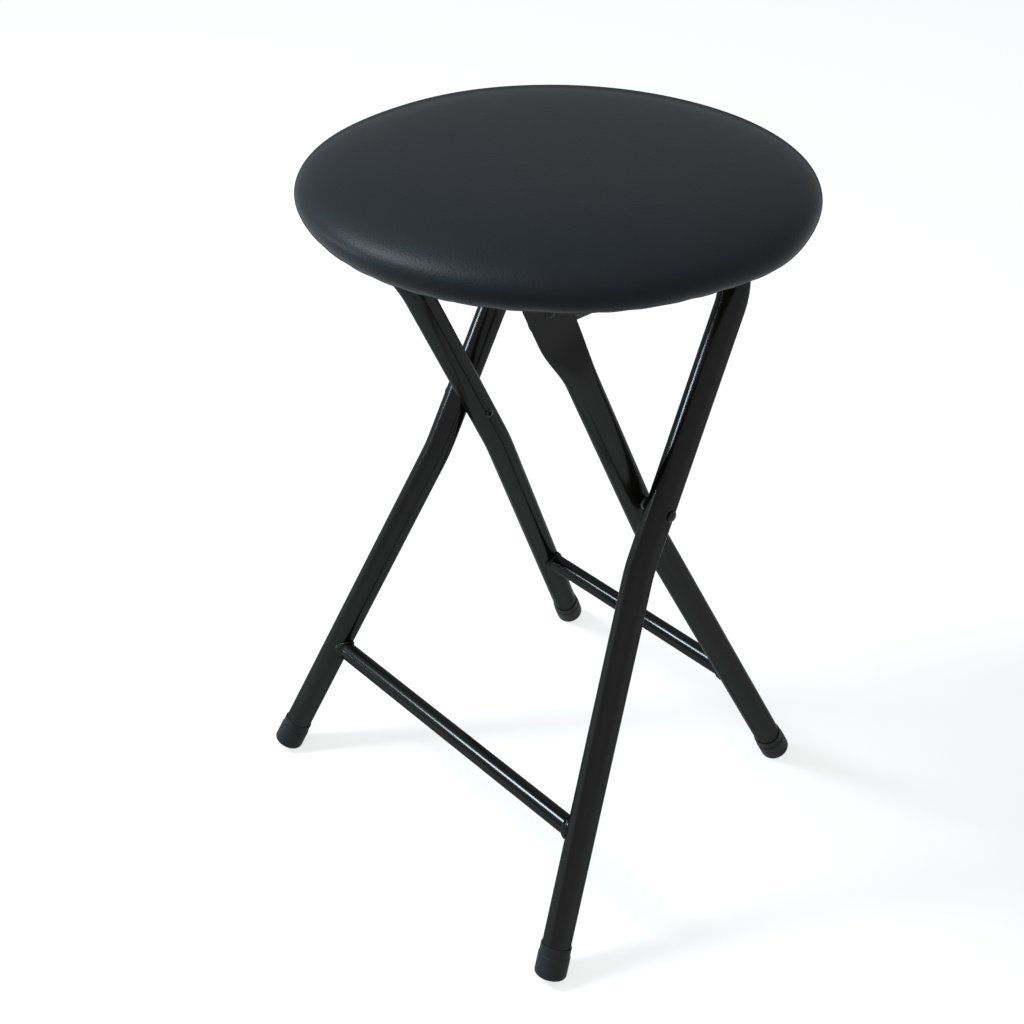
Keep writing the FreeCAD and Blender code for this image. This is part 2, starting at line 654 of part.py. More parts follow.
def inner_leg():
    """A leg tube with its upper end pressed flat and pierced for the seat's hinge rivet."""
    body = new_body("inner_leg_right")
    path = sketch_on(body, "XZ_Plane")
    run = Outline(path, "inner_end", "-inner_end_drop")
    run.line("inner_low", "-inner_low_drop")
    run.arc("inner_half_width", "-inner_high_drop", "inner_centre", "-inner_high_drop", clockwise=True)
    run.line("inner_half_width", "flatten_start")
    document.recompute()
    tube_along(body, path, 3)

    flattening = body.newObject("PartDesign::AdditiveLoft", "Flattening")
    flattening.Profile = round_section(body, "flatten_start", "ring_outer", "ring_inner", "ring_corner")
    flattening.Sections = [
        flat_section(body, "early_level", "early"),
        flat_section(body, "late_level", "late"),
        flat_section(body, "flat_start", "flat"),
    ]
    document.recompute()
    closing_bore = body.newObject("PartDesign::SubtractiveLoft", "ClosingBore")
    closing_bore.Profile = round_section(body, "flatten_start", "bore_outer", "bore_inner", "bore_corner")
    closing_bore.Sections = [
        flat_section(body, "early_level", "early_bore"),
        flat_section(body, "late_level", "late_bore"),
        flat_section(body, "flat_start", "slit"),
    ]
    document.recompute()
    pad(body, flat_section(body, "flat_start", "flat"), "flat_length")

    corners = sketch_on(body, "YZ_Plane")
    for side in ("", "-"):
        run = Outline(corners, side + "flat_half", "flat_end_inside")
        run.line(side + "flat_half_past", "flat_end_inside")
        run.line(side + "flat_half_past", "flat_end_past")
        run.line(side + "flat_half_inside", "flat_end_past")
        run.line(side + "flat_half_inside", "flat_end")
        run.arc(side + "flat_half", "flat_end_inside", side + "flat_half_inside", "flat_end_inside",
                clockwise=(side == ""), closing=True)
    pocket_through(body, corners)
    cross_hole(body, "0")
    cross_hole(body, "hinge_rise")
    lean_on_pivot(body, "leg_lean")
    return body


def aim_along_leg(piece, frame):
    """Puts a piece drawn along +Z on the right leg's foot, in line with the splayed leg."""
    splay = "-" + frame + "_splay"
    splayed = FreeCAD.Rotation(FreeCAD.Vector(0, 1, 0), amount(splay))
    piece.Placement = FreeCAD.Placement(FreeCAD.Vector(), splayed)
    piece.setExpression("Placement.Rotation.Angle", bound(splay))
    put(piece, x=frame + "_foot", z="-" + frame + "_leg_drop")


def crossbar(frame, lean):
    """A straight tube between the two legs of a frame, its ends notched to the legs and welded."""
    reach = frame + "_bar_reach"
    weld = frame + "_weld"
    weld_start = frame + "_weld_start"
    bar = new_body(frame + "_bar_blank")
    section = sketch_on(bar, "XZ_Plane")
    run = Outline(section, "-" + reach, "bar_bore")
    run.line(reach, "bar_bore")
    run.line(reach, "weld_radius")
    run.line(weld, "weld_radius")
    run.line(weld_start, "bar_radius")
    run.line("-" + weld_start, "bar_radius")
    run.line("-" + weld, "weld_radius")
    run.line("-" + reach, "weld_radius")
    run.close()
    turn(bar, section, "H_Axis")
    put(bar, z="-" + frame + "_bar_drop")

    right_leg = document.addObject("Part::Cylinder", frame + "_leg_notch")
    right_leg.setExpression("Radius", bound("weld_cut"))
    right_leg.setExpression("Height", bound(frame + "_straight"))
    aim_along_leg(right_leg, frame)
    left_leg = mirrored(right_leg, frame + "_leg_notch_left")
    half_notched = document.addObject("Part::Cut", frame + "_bar_half_notched")
    half_notched.Base = bar
    half_notched.Tool = right_leg
    notched = document.addObject("Part::Cut", frame + "_crossbar")
    notched.Label = frame + "_crossbar"
    notched.Base = half_notched
    notched.Tool = left_leg
    lean_on_pivot(notched, lean)
    return notched


def foot_cap(frame, lean, label, floor):
    """A rubber cup pushed over the end of a leg, flat where it meets the floor."""
    cup = new_body(label + "_cup")
    section = sketch_on(cup, "XZ_Plane")
    run = Outline(section, "0", "0")
    run.line("cap_flank", "0")
    run.arc("cap_radius", "cap_edge_round", "cap_flank", "cap_edge_round")
    run.line("cap_radius", "cap_shoulder_low")
    run.line("cap_shoulder_inside", "cap_shoulder")
    run.line("cap_shoulder_inside", "cap_lip_level")
    run.arc("cap_lip", "cap_length", "cap_lip", "cap_lip_level")
    run.line("cap_bore", "cap_length")
    run.line("cap_bore", "sole_thickness")
    run.line("0", "sole_thickness")
    run.close()
    turn(cup, section, "V_Axis")
    aim_along_leg(cup, frame)
    leaned = document.addObject("Part::Compound", label + "_leaned")
    leaned.Links = [cup]
    lean_on_pivot(leaned, lean)
    cap = document.addObject("Part::Cut", label)
    cap.Label = label
    cap.Base = leaned
    cap.Tool = floor
    return cap


def floor_block():
    """Everything below the floor, under the whole stool."""
    block = document.addObject("Part::Box", "floor_block")
    block.setExpression("Length", "2 * Sizes.seat_diameter")
    block.setExpression("Width", "2 * Sizes.seat_diameter")
    block.setExpression("Height", bound("cap_length"))
    put(block, x="-seat_diameter", y="-seat_diameter", z="-cap_length")
    return block


# Rivets, spacers and washers of the two pivots between the frames and the two seat hinges.

def rivet(label, tail, tail_face, head, back, level):
    """A round shank with a domed head outside and a hollow end rolled over inside."""
    body = new_body(label)
    section = sketch_on(body, "XZ_Plane")
    run = Outline(section, tail + "_tail_bottom", "0")
    run.line(tail + "_tail_bottom", "hollow_radius")
    run.line(tail + "_tail_mouth", "hollow_radius")
    run.arc(tail_face, "tail_radius", tail + "_tail_centre", "0", clockwise=True)
    run.line(tail_face, "rivet_radius")
    run.line(head, "rivet_radius")
    run.line(head, "head_radius")
    run.arc(head + "_tip", "0", head + "_centre", "0", clockwise=True)
    run.close()
    turn(body, section, "H_Axis")
    put(body, y=back, z=level)
    return body


def pivot_spacer():
    """A short barrel on the pivot's rivet that keeps the legs apart."""
    body = new_body("pivot_spacer_right")
    section = sketch_on(body, "XZ_Plane")
    run = Outline(section, "spacer_start", "rivet_hole")
    run.line("spacer_start", "spacer_edge")
    run.arc("spacer_end", "spacer_edge", "spacer_middle", "spacer_arc_centre", clockwise=True)
    run.line("spacer_end", "rivet_hole")
    run.close()
    turn(body, section, "H_Axis")
    put(body, y="pivot_set_back", z="pivot_height")
    return body


def hinge_washer():
    """A flat ring on the hinge's rivet, between the bracket and the flattened leg."""
    body = new_body("hinge_washer_right")
    section = sketch_on(body, "YZ_Plane", "web_outer")
    circle(section, "washer_radius")
    circle(section, "rivet_hole")
    pad(body, section, "washer_thickness")
    put(body, y="hinge_back", z="hinge_level")
    return body


# Under the seat: pressed hinge brackets, moulded rail saddles and the screws that hold them.

def runs_along(edge, axis):
    """Whether a straight edge runs along one axis, 0 for X, 1 for Y or 2 for Z."""
    if len(edge.Vertexes) != 2 or not isinstance(edge.Curve, Part.Line):
        return False
    step = edge.Vertexes[1].Point - edge.Vertexes[0].Point
    return all(abs(step[other]) < 0.001 for other in range(3) if other != axis)


def hinge_bracket():
    """An angle of pressed sheet: the web carries the hinge rivet, the flange screws to the board."""
    body = new_body("hinge_bracket_right")
    web = sketch_on(body, "YZ_Plane", "web_inner")
    run = Outline(web, "-bracket_ear", "hinge_drop")
    run.line("-bracket_ear", "-bracket_below")
    run.line("bracket_straight", "-bracket_below")
    run.line("bracket_behind", "tail_low")
    run.line("bracket_behind", "hinge_drop")
    run.close()
    pad(body, web, "bracket_sheet")
    flange = sketch_on(body, "XY_Plane", "flange_low")
    run = Outline(flange, "flange_inner", "-bracket_ear")
    run.line("web_outer", "-bracket_ear")
    run.line("web_outer", "bracket_behind")
    run.line("flange_inner", "bracket_behind")
    run.close()
    pad(body, flange, "bracket_sheet")

    def nose(edge):
        middle = edge.CenterOfMass
        return runs_along(edge, 0) and near(middle.y, "-bracket_ear") and near(middle.z, "-bracket_below")

    def lower_corner(edge):
        middle = edge.CenterOfMass
        return runs_along(edge, 0) and middle.y > 0 and middle.z < amount("tail_low") + 0.01

    def flange_corner(edge):
        return runs_along(edge, 2) and near(edge.CenterOfMass.x, "flange_inner")

    def bend_inside(edge):
        middle = edge.CenterOfMass
        return runs_along(edge, 1) and near(middle.x, "web_inner") and near(middle.z, "flange_low")

    def bend_outside(edge):
        middle = edge.CenterOfMass
        return runs_along(edge, 1) and near(middle.x, "web_outer") and near(middle.z, "hinge_drop")

    round_edges(body, "bracket_nose_round", nose)
    round_edges(body, "bracket_corner", lower_corner)
    round_edges(body, "bracket_corner", flange_corner)
    round_edges(body, "bracket_bend", bend_inside)
    round_edges(body, "bend_outside", bend_outside)
    cross_hole(body, "0")
    hole = sketch_on(body, "XY_Plane")
    circle(hole, "screw_hole", "flange_screw", "-bracket_screw_first")
    first_hole = pocket_through(body, hole)
    pattern = body.newObject("PartDesign::LinearPattern", "ScrewHoles")
    pattern.Originals = [first_hole]
    pattern.Direction = (hole, ["V_Axis"])
    pattern.Occurrences = len(BRACKET_HOLES)
    pattern.setExpression("Length", bound("bracket_screw_span"))
    body.Tip = pattern
    document.recompute()
    put(body, y="hinge_back", z="hinge_level")
    return body


def rest_saddle():
    """A moulded saddle over the top rail: a full rear wall, and open forwards so the rail can leave."""
    body = new_body("rest_saddle_right")
    side_view = sketch_on(body, "YZ_Plane", "saddle_start")
    run = Outline(side_view, "saddle_tail", "saddle_drop")
    run.line("-saddle_tail", "saddle_drop")
    run.line("-saddle_tail", "saddle_ear_low")
    run.line("-saddle_outside", "saddle_ear_low")
    run.line("-saddle_outside", "saddle_nose_level")
    run.line("saddle_nose", "saddle_nose_level")
    run.arc("saddle_inside", "0", "0", "0", clockwise=True)
    run.line("saddle_inside", "-saddle_lip")
    run.line("saddle_outside", "-saddle_lip")
    run.line("saddle_outside", "saddle_ear_low")
    run.line("saddle_tail", "saddle_ear_low")
    run.close()
    pad(body, side_view, "saddle_width")

    def lip(edge):
        return runs_along(edge, 0) and near(edge.CenterOfMass.z, "-saddle_lip")

    def ear_corner(edge):
        return runs_along(edge, 2) and near(abs(edge.CenterOfMass.y), "saddle_tail")

    round_edges(body, "saddle_edge_round", lip)
    round_edges(body, "saddle_edge_round", ear_corner)
    holes = sketch_on(body, "XY_Plane")
    for side in ("", "-"):
        circle(holes, "screw_hole", "saddle_offset", side + "saddle_screw")
    pocket_through(body, holes)
    put(body, y="rail_back", z="rail_level")
    return body


def pan_screw(label, reach):
    """One pan-head screw, pointing up, its head seated at its origin."""
    body = new_body(label)
    section = sketch_on(body, "XZ_Plane")
    run = Outline(section, "0", "-screw_head_height")
    run.arc("pan_radius", "0", "0", "pan_centre")
    run.line("screw_radius", "0")
    run.line("screw_radius", reach)
    run.line("0", reach)
    run.close()
    turn(body, section, "V_Axis")
    return body


def screw_group(label, screw, across, places, seat_level):
    """The same screw at every hole of a kind, left and right."""
    copies = []
    for side in (1, -1):
        for place in places:
            copy = screw.Shape.copy()
            copy.translate(FreeCAD.Vector(side * amount(across), amount(place), seat_level))
            copies.append(copy)
    group = document.addObject("Part::Feature", label)
    group.Label = label
    group.Shape = Part.makeCompound(copies)
    return group


floor = floor_block()
outer_tube = outer_frame_tube()
leg = inner_leg()
bracket = hinge_bracket()
saddle = rest_saddle()
front_foot = foot_cap("outer", "-leg_lean", "foot_cap_front_right", floor)
rear_foot = foot_cap("inner", "leg_lean", "foot_cap_rear_right", floor)
pivot_rivet = rivet("pivot_rivet_right", "pivot", "pivot_tail", "pivot_head",
                    "pivot_set_back", "pivot_height")
hinge_rivet = rivet("hinge_rivet_right", "hinge", "web_inner", "hinge_head",
                    "hinge_back", "hinge_level")
spacer = pivot_spacer()
washer = hinge_washer()
bracket_screw = pan_screw("bracket_screw", "bracket_screw_reach")
saddle_screw = pan_screw("saddle_screw", "saddle_screw_reach")
document.recompute()

right_pieces = [leg, bracket, saddle, front_foot, rear_foot, pivot_rivet, hinge_rivet, spacer, washer]
pieces = [seat_board(), seat_foam(), seat_cover(), outer_tube]
pieces.append(crossbar("outer", "-leg_lean"))
pieces.append(crossbar("inner", "leg_lean"))
pieces.append(screw_group("bracket_screws", bracket_screw, "flange_screw", BRACKET_HOLES,
                          amount("board_underside") - amount("bracket_sheet")))
pieces.append(screw_group("saddle_screws", saddle_screw, "saddle_offset", SADDLE_HOLES,
                          amount("board_underside") - amount("saddle_ear_thickness")))
for piece in right_pieces:
    pieces.append(piece)
    pieces.append(mirrored(piece, piece.Label.replace("_right", "_left")))
document.recompute()

for item in document.Objects:
    if "Invalid" in item.State or "Error" in item.State:
        raise RuntimeError("%s failed: %s" % (item.Label, item.State))
for piece in pieces:
    if piece.Shape.isNull() or not piece.Shape.isValid():
        raise RuntimeError("%s has no valid shape" % piece.Label)

os.makedirs("parts", exist_ok=True)
for piece in pieces:
    piece.Shape.exportStep("parts/%s.step" % piece.Label)
    print(piece.Label, len(piece.Shape.Solids), round(piece.Shape.Volume))
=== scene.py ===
import math
import random

import bmesh
import bpy
import numpy as np
from mathutils import Matrix, Vector, noise
from mathutils.bvhtree import BVHTree


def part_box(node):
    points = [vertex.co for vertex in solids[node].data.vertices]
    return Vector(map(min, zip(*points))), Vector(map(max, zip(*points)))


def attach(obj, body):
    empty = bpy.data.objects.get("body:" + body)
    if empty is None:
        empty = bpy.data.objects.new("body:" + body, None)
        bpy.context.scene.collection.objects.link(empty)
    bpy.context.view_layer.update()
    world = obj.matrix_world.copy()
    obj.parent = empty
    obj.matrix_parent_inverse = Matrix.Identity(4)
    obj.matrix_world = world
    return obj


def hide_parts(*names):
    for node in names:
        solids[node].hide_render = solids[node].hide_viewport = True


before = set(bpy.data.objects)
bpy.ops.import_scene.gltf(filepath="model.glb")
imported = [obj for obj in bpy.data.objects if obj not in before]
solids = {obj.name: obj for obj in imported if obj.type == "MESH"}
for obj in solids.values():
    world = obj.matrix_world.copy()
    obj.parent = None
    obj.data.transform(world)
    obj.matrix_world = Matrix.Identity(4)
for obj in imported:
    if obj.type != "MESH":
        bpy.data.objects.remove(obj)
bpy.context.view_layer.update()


# Seat board: a round of birch plywood, sawn out and left bare, with its face grain front to back.
# Foam and cover are drawn over it, and every screw under the seat goes into it.

def add(tree, kind, feeds=None, **settings):
    """Adds a node. feeds sets or links its inputs by name or number, settings its properties."""
    made = tree.nodes.new(kind)
    for name, value in settings.items():
        setattr(made, name, value)
    for key, value in (feeds or {}).items():
        if isinstance(value, bpy.types.NodeSocket):
            tree.links.new(value, made.inputs[key])
        else:
            made.inputs[key].default_value = value
    return made


def new_finish(name, **plain):
    """A material and its shader; plain gives the shader's values that are the same all over."""
    material = bpy.data.materials.new(name)
    material.use_nodes = True
    shader = material.node_tree.nodes["Principled BSDF"]
    for label, value in plain.items():
        shader.inputs[label.replace("_", " ")].default_value = value
    return material, material.node_tree, shader


def place_on_object(tree):
    """Coordinates in metres that stay with the piece."""
    return add(tree, "ShaderNodeTexCoord").outputs["Object"]


def shades(tree, factor, *stops):
    """A colour picked by factor; each stop is a position and a colour."""
    ramp = add(tree, "ShaderNodeValToRGB", {"Fac": factor})
    elements = ramp.color_ramp.elements
    while len(elements) < len(stops):
        elements.new(0.5)
    for element, (position, colour) in zip(elements, stops):
        element.position = position
        element.color = (*colour, 1)
    return ramp.outputs["Color"]


def between(tree, value, low, high, start=0.0, end=1.0):
    """Maps value from start..end to low..high."""
    feeds = {"Value": value, "From Min": start, "From Max": end, "To Min": low, "To Max": high}
    return add(tree, "ShaderNodeMapRange", feeds).outputs["Result"]


def relief(tree, shader, height, depth, strength=1.0):
    """Raises the surface by height, where a height of one stands depth metres proud."""
    bump = add(tree, "ShaderNodeBump", {"Height": height, "Distance": depth, "Strength": strength})
    tree.links.new(bump.outputs["Normal"], shader.inputs["Normal"])


def dress(material, *pieces):
    """Gives pieces this one material."""
    for piece in pieces:
        piece.data.materials.clear()
        piece.data.materials.append(material)


birch, tree, shader = new_finish("bare_birch_plywood", Specular_IOR_Level=0.3)
along_grain = add(tree, "ShaderNodeMapping", {"Vector": place_on_object(tree), "Scale": (90, 7, 320)})
fibres = add(tree, "ShaderNodeTexNoise", {
    "Vector": along_grain.outputs["Vector"], "Scale": 1.0, "Detail": 8.0, "Roughness": 0.65})
across_ply = add(tree, "ShaderNodeMapping", {"Vector": place_on_object(tree), "Scale": (14, 1.6, 14)})
flames = add(tree, "ShaderNodeTexWave", {
    "Vector": across_ply.outputs["Vector"], "Scale": 1.0, "Distortion": 7.0,
    "Detail": 3.0, "Detail Scale": 1.4})
streaks = add(tree, "ShaderNodeMath", {
    0: fibres.outputs["Fac"], 1: flames.outputs["Fac"]}, operation="MULTIPLY")
wood = shades(tree, streaks.outputs["Value"], (0.0, (0.50, 0.36, 0.21)),
              (0.25, (0.46, 0.33, 0.19)), (0.7, (0.33, 0.21, 0.11)))
tree.links.new(wood, shader.inputs["Base Color"])
tree.links.new(between(tree, fibres.outputs["Fac"], 0.55, 0.8), shader.inputs["Roughness"])
relief(tree, shader, fibres.outputs["Fac"], 0.0002)
dress(birch, solids["seat_board"])


# Vinyl cover: one round of backed vinyl drawn over the foam and turned in under the board.
# It is swelled over the pad by simulation, then gets its soft dips, its gathered lower edge and its hem.
SEAT_RADIUS = 0.1504
SEAT_TOP = 0.4822
WIDEST_LEVEL = 0.460
SEAT_UNDERSIDE = 0.448
TUCK = 0.014
HEM_RADIUS = 0.120
FULLNESS = 5.0
VINYL_THICKNESS = 0.001
COVER_TURNS = 288
CROWN_STEPS, CROWN_PARTS = 24, 40
SHOULDER_STEPS = 36
TUCK_STEPS = 24
HEM_STEPS = 8


def seat_section(radius, top, fullness):
    """The seat's section as (distance from the middle, height, slope), from the crown round to the hem.

    The slope is 0 on the crown, a quarter turn at the rim and half a turn on the hem.
    """
    rise = top - WIDEST_LEVEL
    drop = WIDEST_LEVEL - SEAT_UNDERSIDE
    shares = [step / CROWN_PARTS for step in range(CROWN_STEPS)]
    first = math.asin((CROWN_STEPS / CROWN_PARTS) ** (fullness / 2))
    for step in range(SHOULDER_STEPS):
        turn = first + (math.pi / 2 - first) * step / SHOULDER_STEPS
        shares.append(math.sin(turn) ** (2 / fullness))
    section = []
    for share in shares:
        level = math.sqrt(1 - share ** fullness)
        steepness = rise * fullness / (2 * radius) * share ** (fullness - 1) / level
        section.append((radius * share, WIDEST_LEVEL + rise * level, math.atan(steepness)))
    for step in range(TUCK_STEPS + 1):
        turn = math.pi / 2 * (1 + step / TUCK_STEPS)
        slope = math.atan2(drop * math.sin(turn), TUCK * math.cos(turn))
        distance = radius - TUCK + TUCK * math.sin(turn)
        section.append((distance, WIDEST_LEVEL + drop * math.cos(turn), slope))
    for step in range(1, HEM_STEPS + 1):
        distance = radius - TUCK + (HEM_RADIUS - radius + TUCK) * step / HEM_STEPS
        section.append((distance, SEAT_UNDERSIDE, math.pi))
    return section


def new_piece(name, corners, faces):
    """A smooth-shaded mesh object from corners and faces."""
    mesh = bpy.data.meshes.new(name)
    mesh.from_pydata(corners, [], faces)
    mesh.validate()
    mesh.shade_smooth()
    piece = bpy.data.objects.new(name, mesh)
    bpy.context.scene.collection.objects.link(piece)
    return piece


def ring_faces(rings, turns, first=0):
    """Four-sided faces between rings of corners that are numbered from first on."""
    faces = []
    for ring in range(rings - 1):
        for turn in range(turns):
            after = (turn + 1) % turns
            here = first + ring * turns
            faces.append((here + turn, here + turns + turn, here + turns + after, here + after))
    return faces


def turned(section, turns):
    """Corners and faces of a closed solid turned round Z; the section starts and ends in the middle."""
    corners = [(0, 0, section[0][1]), (0, 0, section[-1][1])]
    for distance, height in section[1:-1]:
        for turn in range(turns):
            angle = 2 * math.pi * turn / turns
            corners.append((distance * math.cos(angle), distance * math.sin(angle), height))
    rings = len(section) - 2
    faces = ring_faces(rings, turns, 2)
    last = 2 + (rings - 1) * turns
    for turn in range(turns):
        after = (turn + 1) % turns
        faces.append((0, 2 + turn, 2 + after))
        faces.append((1, last + after, last + turn))
    return corners, faces


SLACK_SIDE = 0.002
SLACK_TOP = 0.003
SLACK_FULLNESS = 0.8
PAD_TURNS = 120
PAD_GRID = 0.005
HELD_BAND = 0.002
SWELL_FRAMES = 20
BRIDGING_PASSES = 30
GLUE_HOLD = 0.006


def swelled_pad():
    """A slack pad blown up by pressure inside its skin, with its underside held, as points and faces."""
    slack = seat_section(SEAT_RADIUS - SLACK_SIDE, SEAT_TOP - SLACK_TOP, FULLNESS - SLACK_FULLNESS)
    outline = [(distance, height) for distance, height, slope in slack] + [(0, SEAT_UNDERSIDE)]
    pad = new_piece("slack_pad", *turned(outline, PAD_TURNS))
    remesh = pad.modifiers.new("even_grid", "REMESH")
    remesh.mode = "VOXEL"
    remesh.voxel_size = PAD_GRID
    even = bpy.data.meshes.new_from_object(pad.evaluated_get(bpy.context.evaluated_depsgraph_get()))
    pad.modifiers.clear()
    pad.data = even
    start = [corner.co.copy() for corner in even.vertices]
    held = pad.vertex_groups.new(name="held_underside")
    bottom = [n for n, point in enumerate(start) if point.z < SEAT_UNDERSIDE + HELD_BAND]
    held.add(bottom, 1.0, "REPLACE")
    cloth = pad.modifiers.new("swell", "CLOTH")
    cloth.settings.quality = 6
    cloth.settings.mass = 0.25
    cloth.settings.tension_stiffness = 18
    cloth.settings.compression_stiffness = 18
    cloth.settings.bending_stiffness = 20
    cloth.settings.vertex_group_mass = held.name
    cloth.settings.use_pressure = True
    cloth.settings.uniform_pressure_force = 4
    cloth.settings.effector_weights.gravity = 0
    for step in range(1, SWELL_FRAMES + 1):
        bpy.context.scene.frame_set(step)
    swelled = pad.evaluated_get(bpy.context.evaluated_depsgraph_get()).data
    moves = [moved.co - point for moved, point in zip(swelled.vertices, start)]
    bpy.context.scene.frame_set(1)
    # Thick backed vinyl bridges small waves, so each point takes its neighbours' share of the move.
    for repeat in range(BRIDGING_PASSES):
        totals = [move.copy() for move in moves]
        counts = [1] * len(moves)
        for one, other in (edge.vertices for edge in even.edges):
            totals[one] += moves[other]
            totals[other] += moves[one]
            counts[one] += 1
            counts[other] += 1
        moves = [total / count for total, count in zip(totals, counts)]
    # The further the skin has moved, the harder the foam's glue holds it back.
    for corner, move, point in zip(even.vertices, moves, start):
        corner.co = point + move * GLUE_HOLD / (GLUE_HOLD + move.length)
    points = [corner.co.copy() for corner in even.vertices]
    faces = [tuple(face.vertices) for face in even.polygons]
    bpy.data.objects.remove(pad)
    return points, faces


def bell(angle, middle, spread):
    """One at the middle angle and falling off to both sides; angles in degrees round the seat."""
    off = (angle - middle + 180) % 360 - 180
    return math.exp(-0.5 * (off / spread) ** 2)


# Soft dips and fuller places of the padding: angle round the seat, spread, depth; upper and lower edge.
UPPER_DIPS = ((186, 13, 0.0020), (100, 15, 0.0008))
LOWER_FULLNESS = ((8, 9, 0.0018), (-33, 9, 0.0010), (-105, 18, -0.0010))
GATHERS = 46
FOLD_DEPTH = 0.0008
HEM_FOLD = 0.8
HEM_RAGGED = 0.0012
HEM_WIDTH = 0.016


def gather(angle):
    """Depth from 0 to 1 of the folds that a drawn-in edge makes, uneven in width and in depth."""
    turn = math.radians(angle)
    sway = noise.noise(Vector((math.cos(turn), math.sin(turn), 0.3)) * 2.3)
    fold = 0.5 + 0.5 * math.cos(turn * GATHERS + 5 * sway)
    depth = noise.noise(Vector((math.cos(turn), math.sin(turn), 4.1)) * 4.0)
    return fold ** 1.6 * (0.55 + 0.75 * depth)


SECTOR = 15
PROBE_DEPTH = 0.008
SPANNING_PASSES = 60
PAD_ENDS = 2.6
HEM_STARTS = 3.1
FOLDS_TURN_IN = 2.9


def edge_shares(slope):
    """How much of the upper dips, the lower fullness and the gathers a place with this slope takes."""
    upper = max(0.0, math.sin(slope) - 0.10) ** 0.7 * min(1.0, max(0.0, (1.9 - slope) / 0.5))
    lower = math.exp(-0.5 * ((slope - 2.1) / 0.5) ** 2)
    drawn = min(1.0, max(0.0, (slope - 2.0) / 0.9))
    return upper, lower, drawn


def cover_skin(section, points, faces):
    """The cover's rings of corners, laid on the swelled pad and given dips, gathers and a hem."""
    top = max(point.z for point in points)
    widest = {}
    for point in points:
        sector = math.degrees(math.atan2(point.y, point.x)) // SECTOR
        widest[sector] = max(widest.get(sector, 0.0), math.hypot(point.x, point.y))
    wide = SEAT_RADIUS * len(widest) / sum(widest.values())
    tall = (SEAT_TOP - SEAT_UNDERSIDE) / (top - SEAT_UNDERSIDE)
    fitted = []
    for point in points:
        level = SEAT_UNDERSIDE + (point.z - SEAT_UNDERSIDE) * tall
        fitted.append(Vector((point.x * wide, point.y * wide, level)))
    surface = BVHTree.FromPolygons(fitted, faces)
    angles = [360 * turn / COVER_TURNS for turn in range(COVER_TURNS)]
    outs = [Vector((math.cos(math.radians(angle)), math.sin(math.radians(angle)), 0)) for angle in angles]
    swelling = np.zeros((len(section), COVER_TURNS))
    for ring, (distance, height, slope) in enumerate(section):
        if slope > PAD_ENDS:
            continue
        for turn, away in enumerate(outs):
            outward = away * math.sin(slope) + Vector((0, 0, math.cos(slope)))
            start = away * distance + Vector((0, 0, height)) - outward * PROBE_DEPTH
            reach = surface.ray_cast(start, outward)[3]
            swelling[ring, turn] = (reach or PROBE_DEPTH) - PROBE_DEPTH
    # The vinyl spans the small facets of the pad.
    for repeat in range(SPANNING_PASSES):
        padded = np.vstack([swelling[:1], swelling, swelling[-1:]])
        beside = np.roll(swelling, 1, 1) + np.roll(swelling, -1, 1)
        swelling = (swelling + padded[:-2] + padded[2:] + beside) / 5
    rim = max(range(len(section)), key=lambda ring: section[ring][0])
    swelling -= swelling[rim].mean()
    rings = []
    for ring, (distance, height, slope) in enumerate(section):
        on_hem = distance < SEAT_RADIUS - TUCK and slope > HEM_STARTS
        upper, lower, drawn = edge_shares(slope)
        corners = []
        for turn, (angle, away) in enumerate(zip(angles, outs)):
            outward = away * math.sin(slope) + Vector((0, 0, math.cos(slope)))
            dip = sum(bell(angle, *place[:2]) * place[2] for place in UPPER_DIPS)
            fuller = sum(bell(angle, *place[:2]) * place[2] for place in LOWER_FULLNESS)
            point = away * distance + Vector((0, 0, height))
            point += outward * (float(swelling[ring, turn]) + fuller * lower - dip * upper)
            if on_hem:
                point.z -= FOLD_DEPTH * gather(angle) * HEM_FOLD
                turned_in = SEAT_RADIUS - TUCK - distance
                point -= away * HEM_RAGGED * gather(angle * 2 + 31) * turned_in / HEM_WIDTH
            else:
                turn_in = 1.0 if slope < FOLDS_TURN_IN else -HEM_FOLD
                point -= outward * FOLD_DEPTH * gather(angle) * drawn * turn_in
            corners.append(point)
        rings.append(corners)
    return rings


cover_section = seat_section(SEAT_RADIUS, SEAT_TOP, FULLNESS)
skin = cover_skin(cover_section, *swelled_pad())
crown = sum((point.z for point in skin[1]), 0.0) / COVER_TURNS
corners = [Vector((0, 0, crown))] + [point for ring in skin[1:] for point in ring]
skin_faces = ring_faces(len(skin) - 1, COVER_TURNS, 1)
skin_faces += [(0, 1 + turn, 1 + (turn + 1) % COVER_TURNS) for turn in range(COVER_TURNS)]
cover = new_piece("seat_cover_vinyl", corners, skin_faces)
thickness = cover.modifiers.new("vinyl_thickness", "SOLIDIFY")
thickness.thickness = VINYL_THICKNESS
thickness.offset = -1


def new_effect(name, inputs, outputs):
    """A shader group with named sockets, for an effect that several finishes share."""
    group = bpy.data.node_groups.new(name, "ShaderNodeTree")
    for label, kind, value in inputs:
        group.interface.new_socket(label, in_out="INPUT", socket_type=kind).default_value = value
    for label, kind in outputs:
        group.interface.new_socket(label, in_out="OUTPUT", socket_type=kind)
    return group, add(group, "NodeGroupInput").outputs, add(group, "NodeGroupOutput").inputs


COLOUR, VALUE = "NodeSocketColor", "NodeSocketFloat"

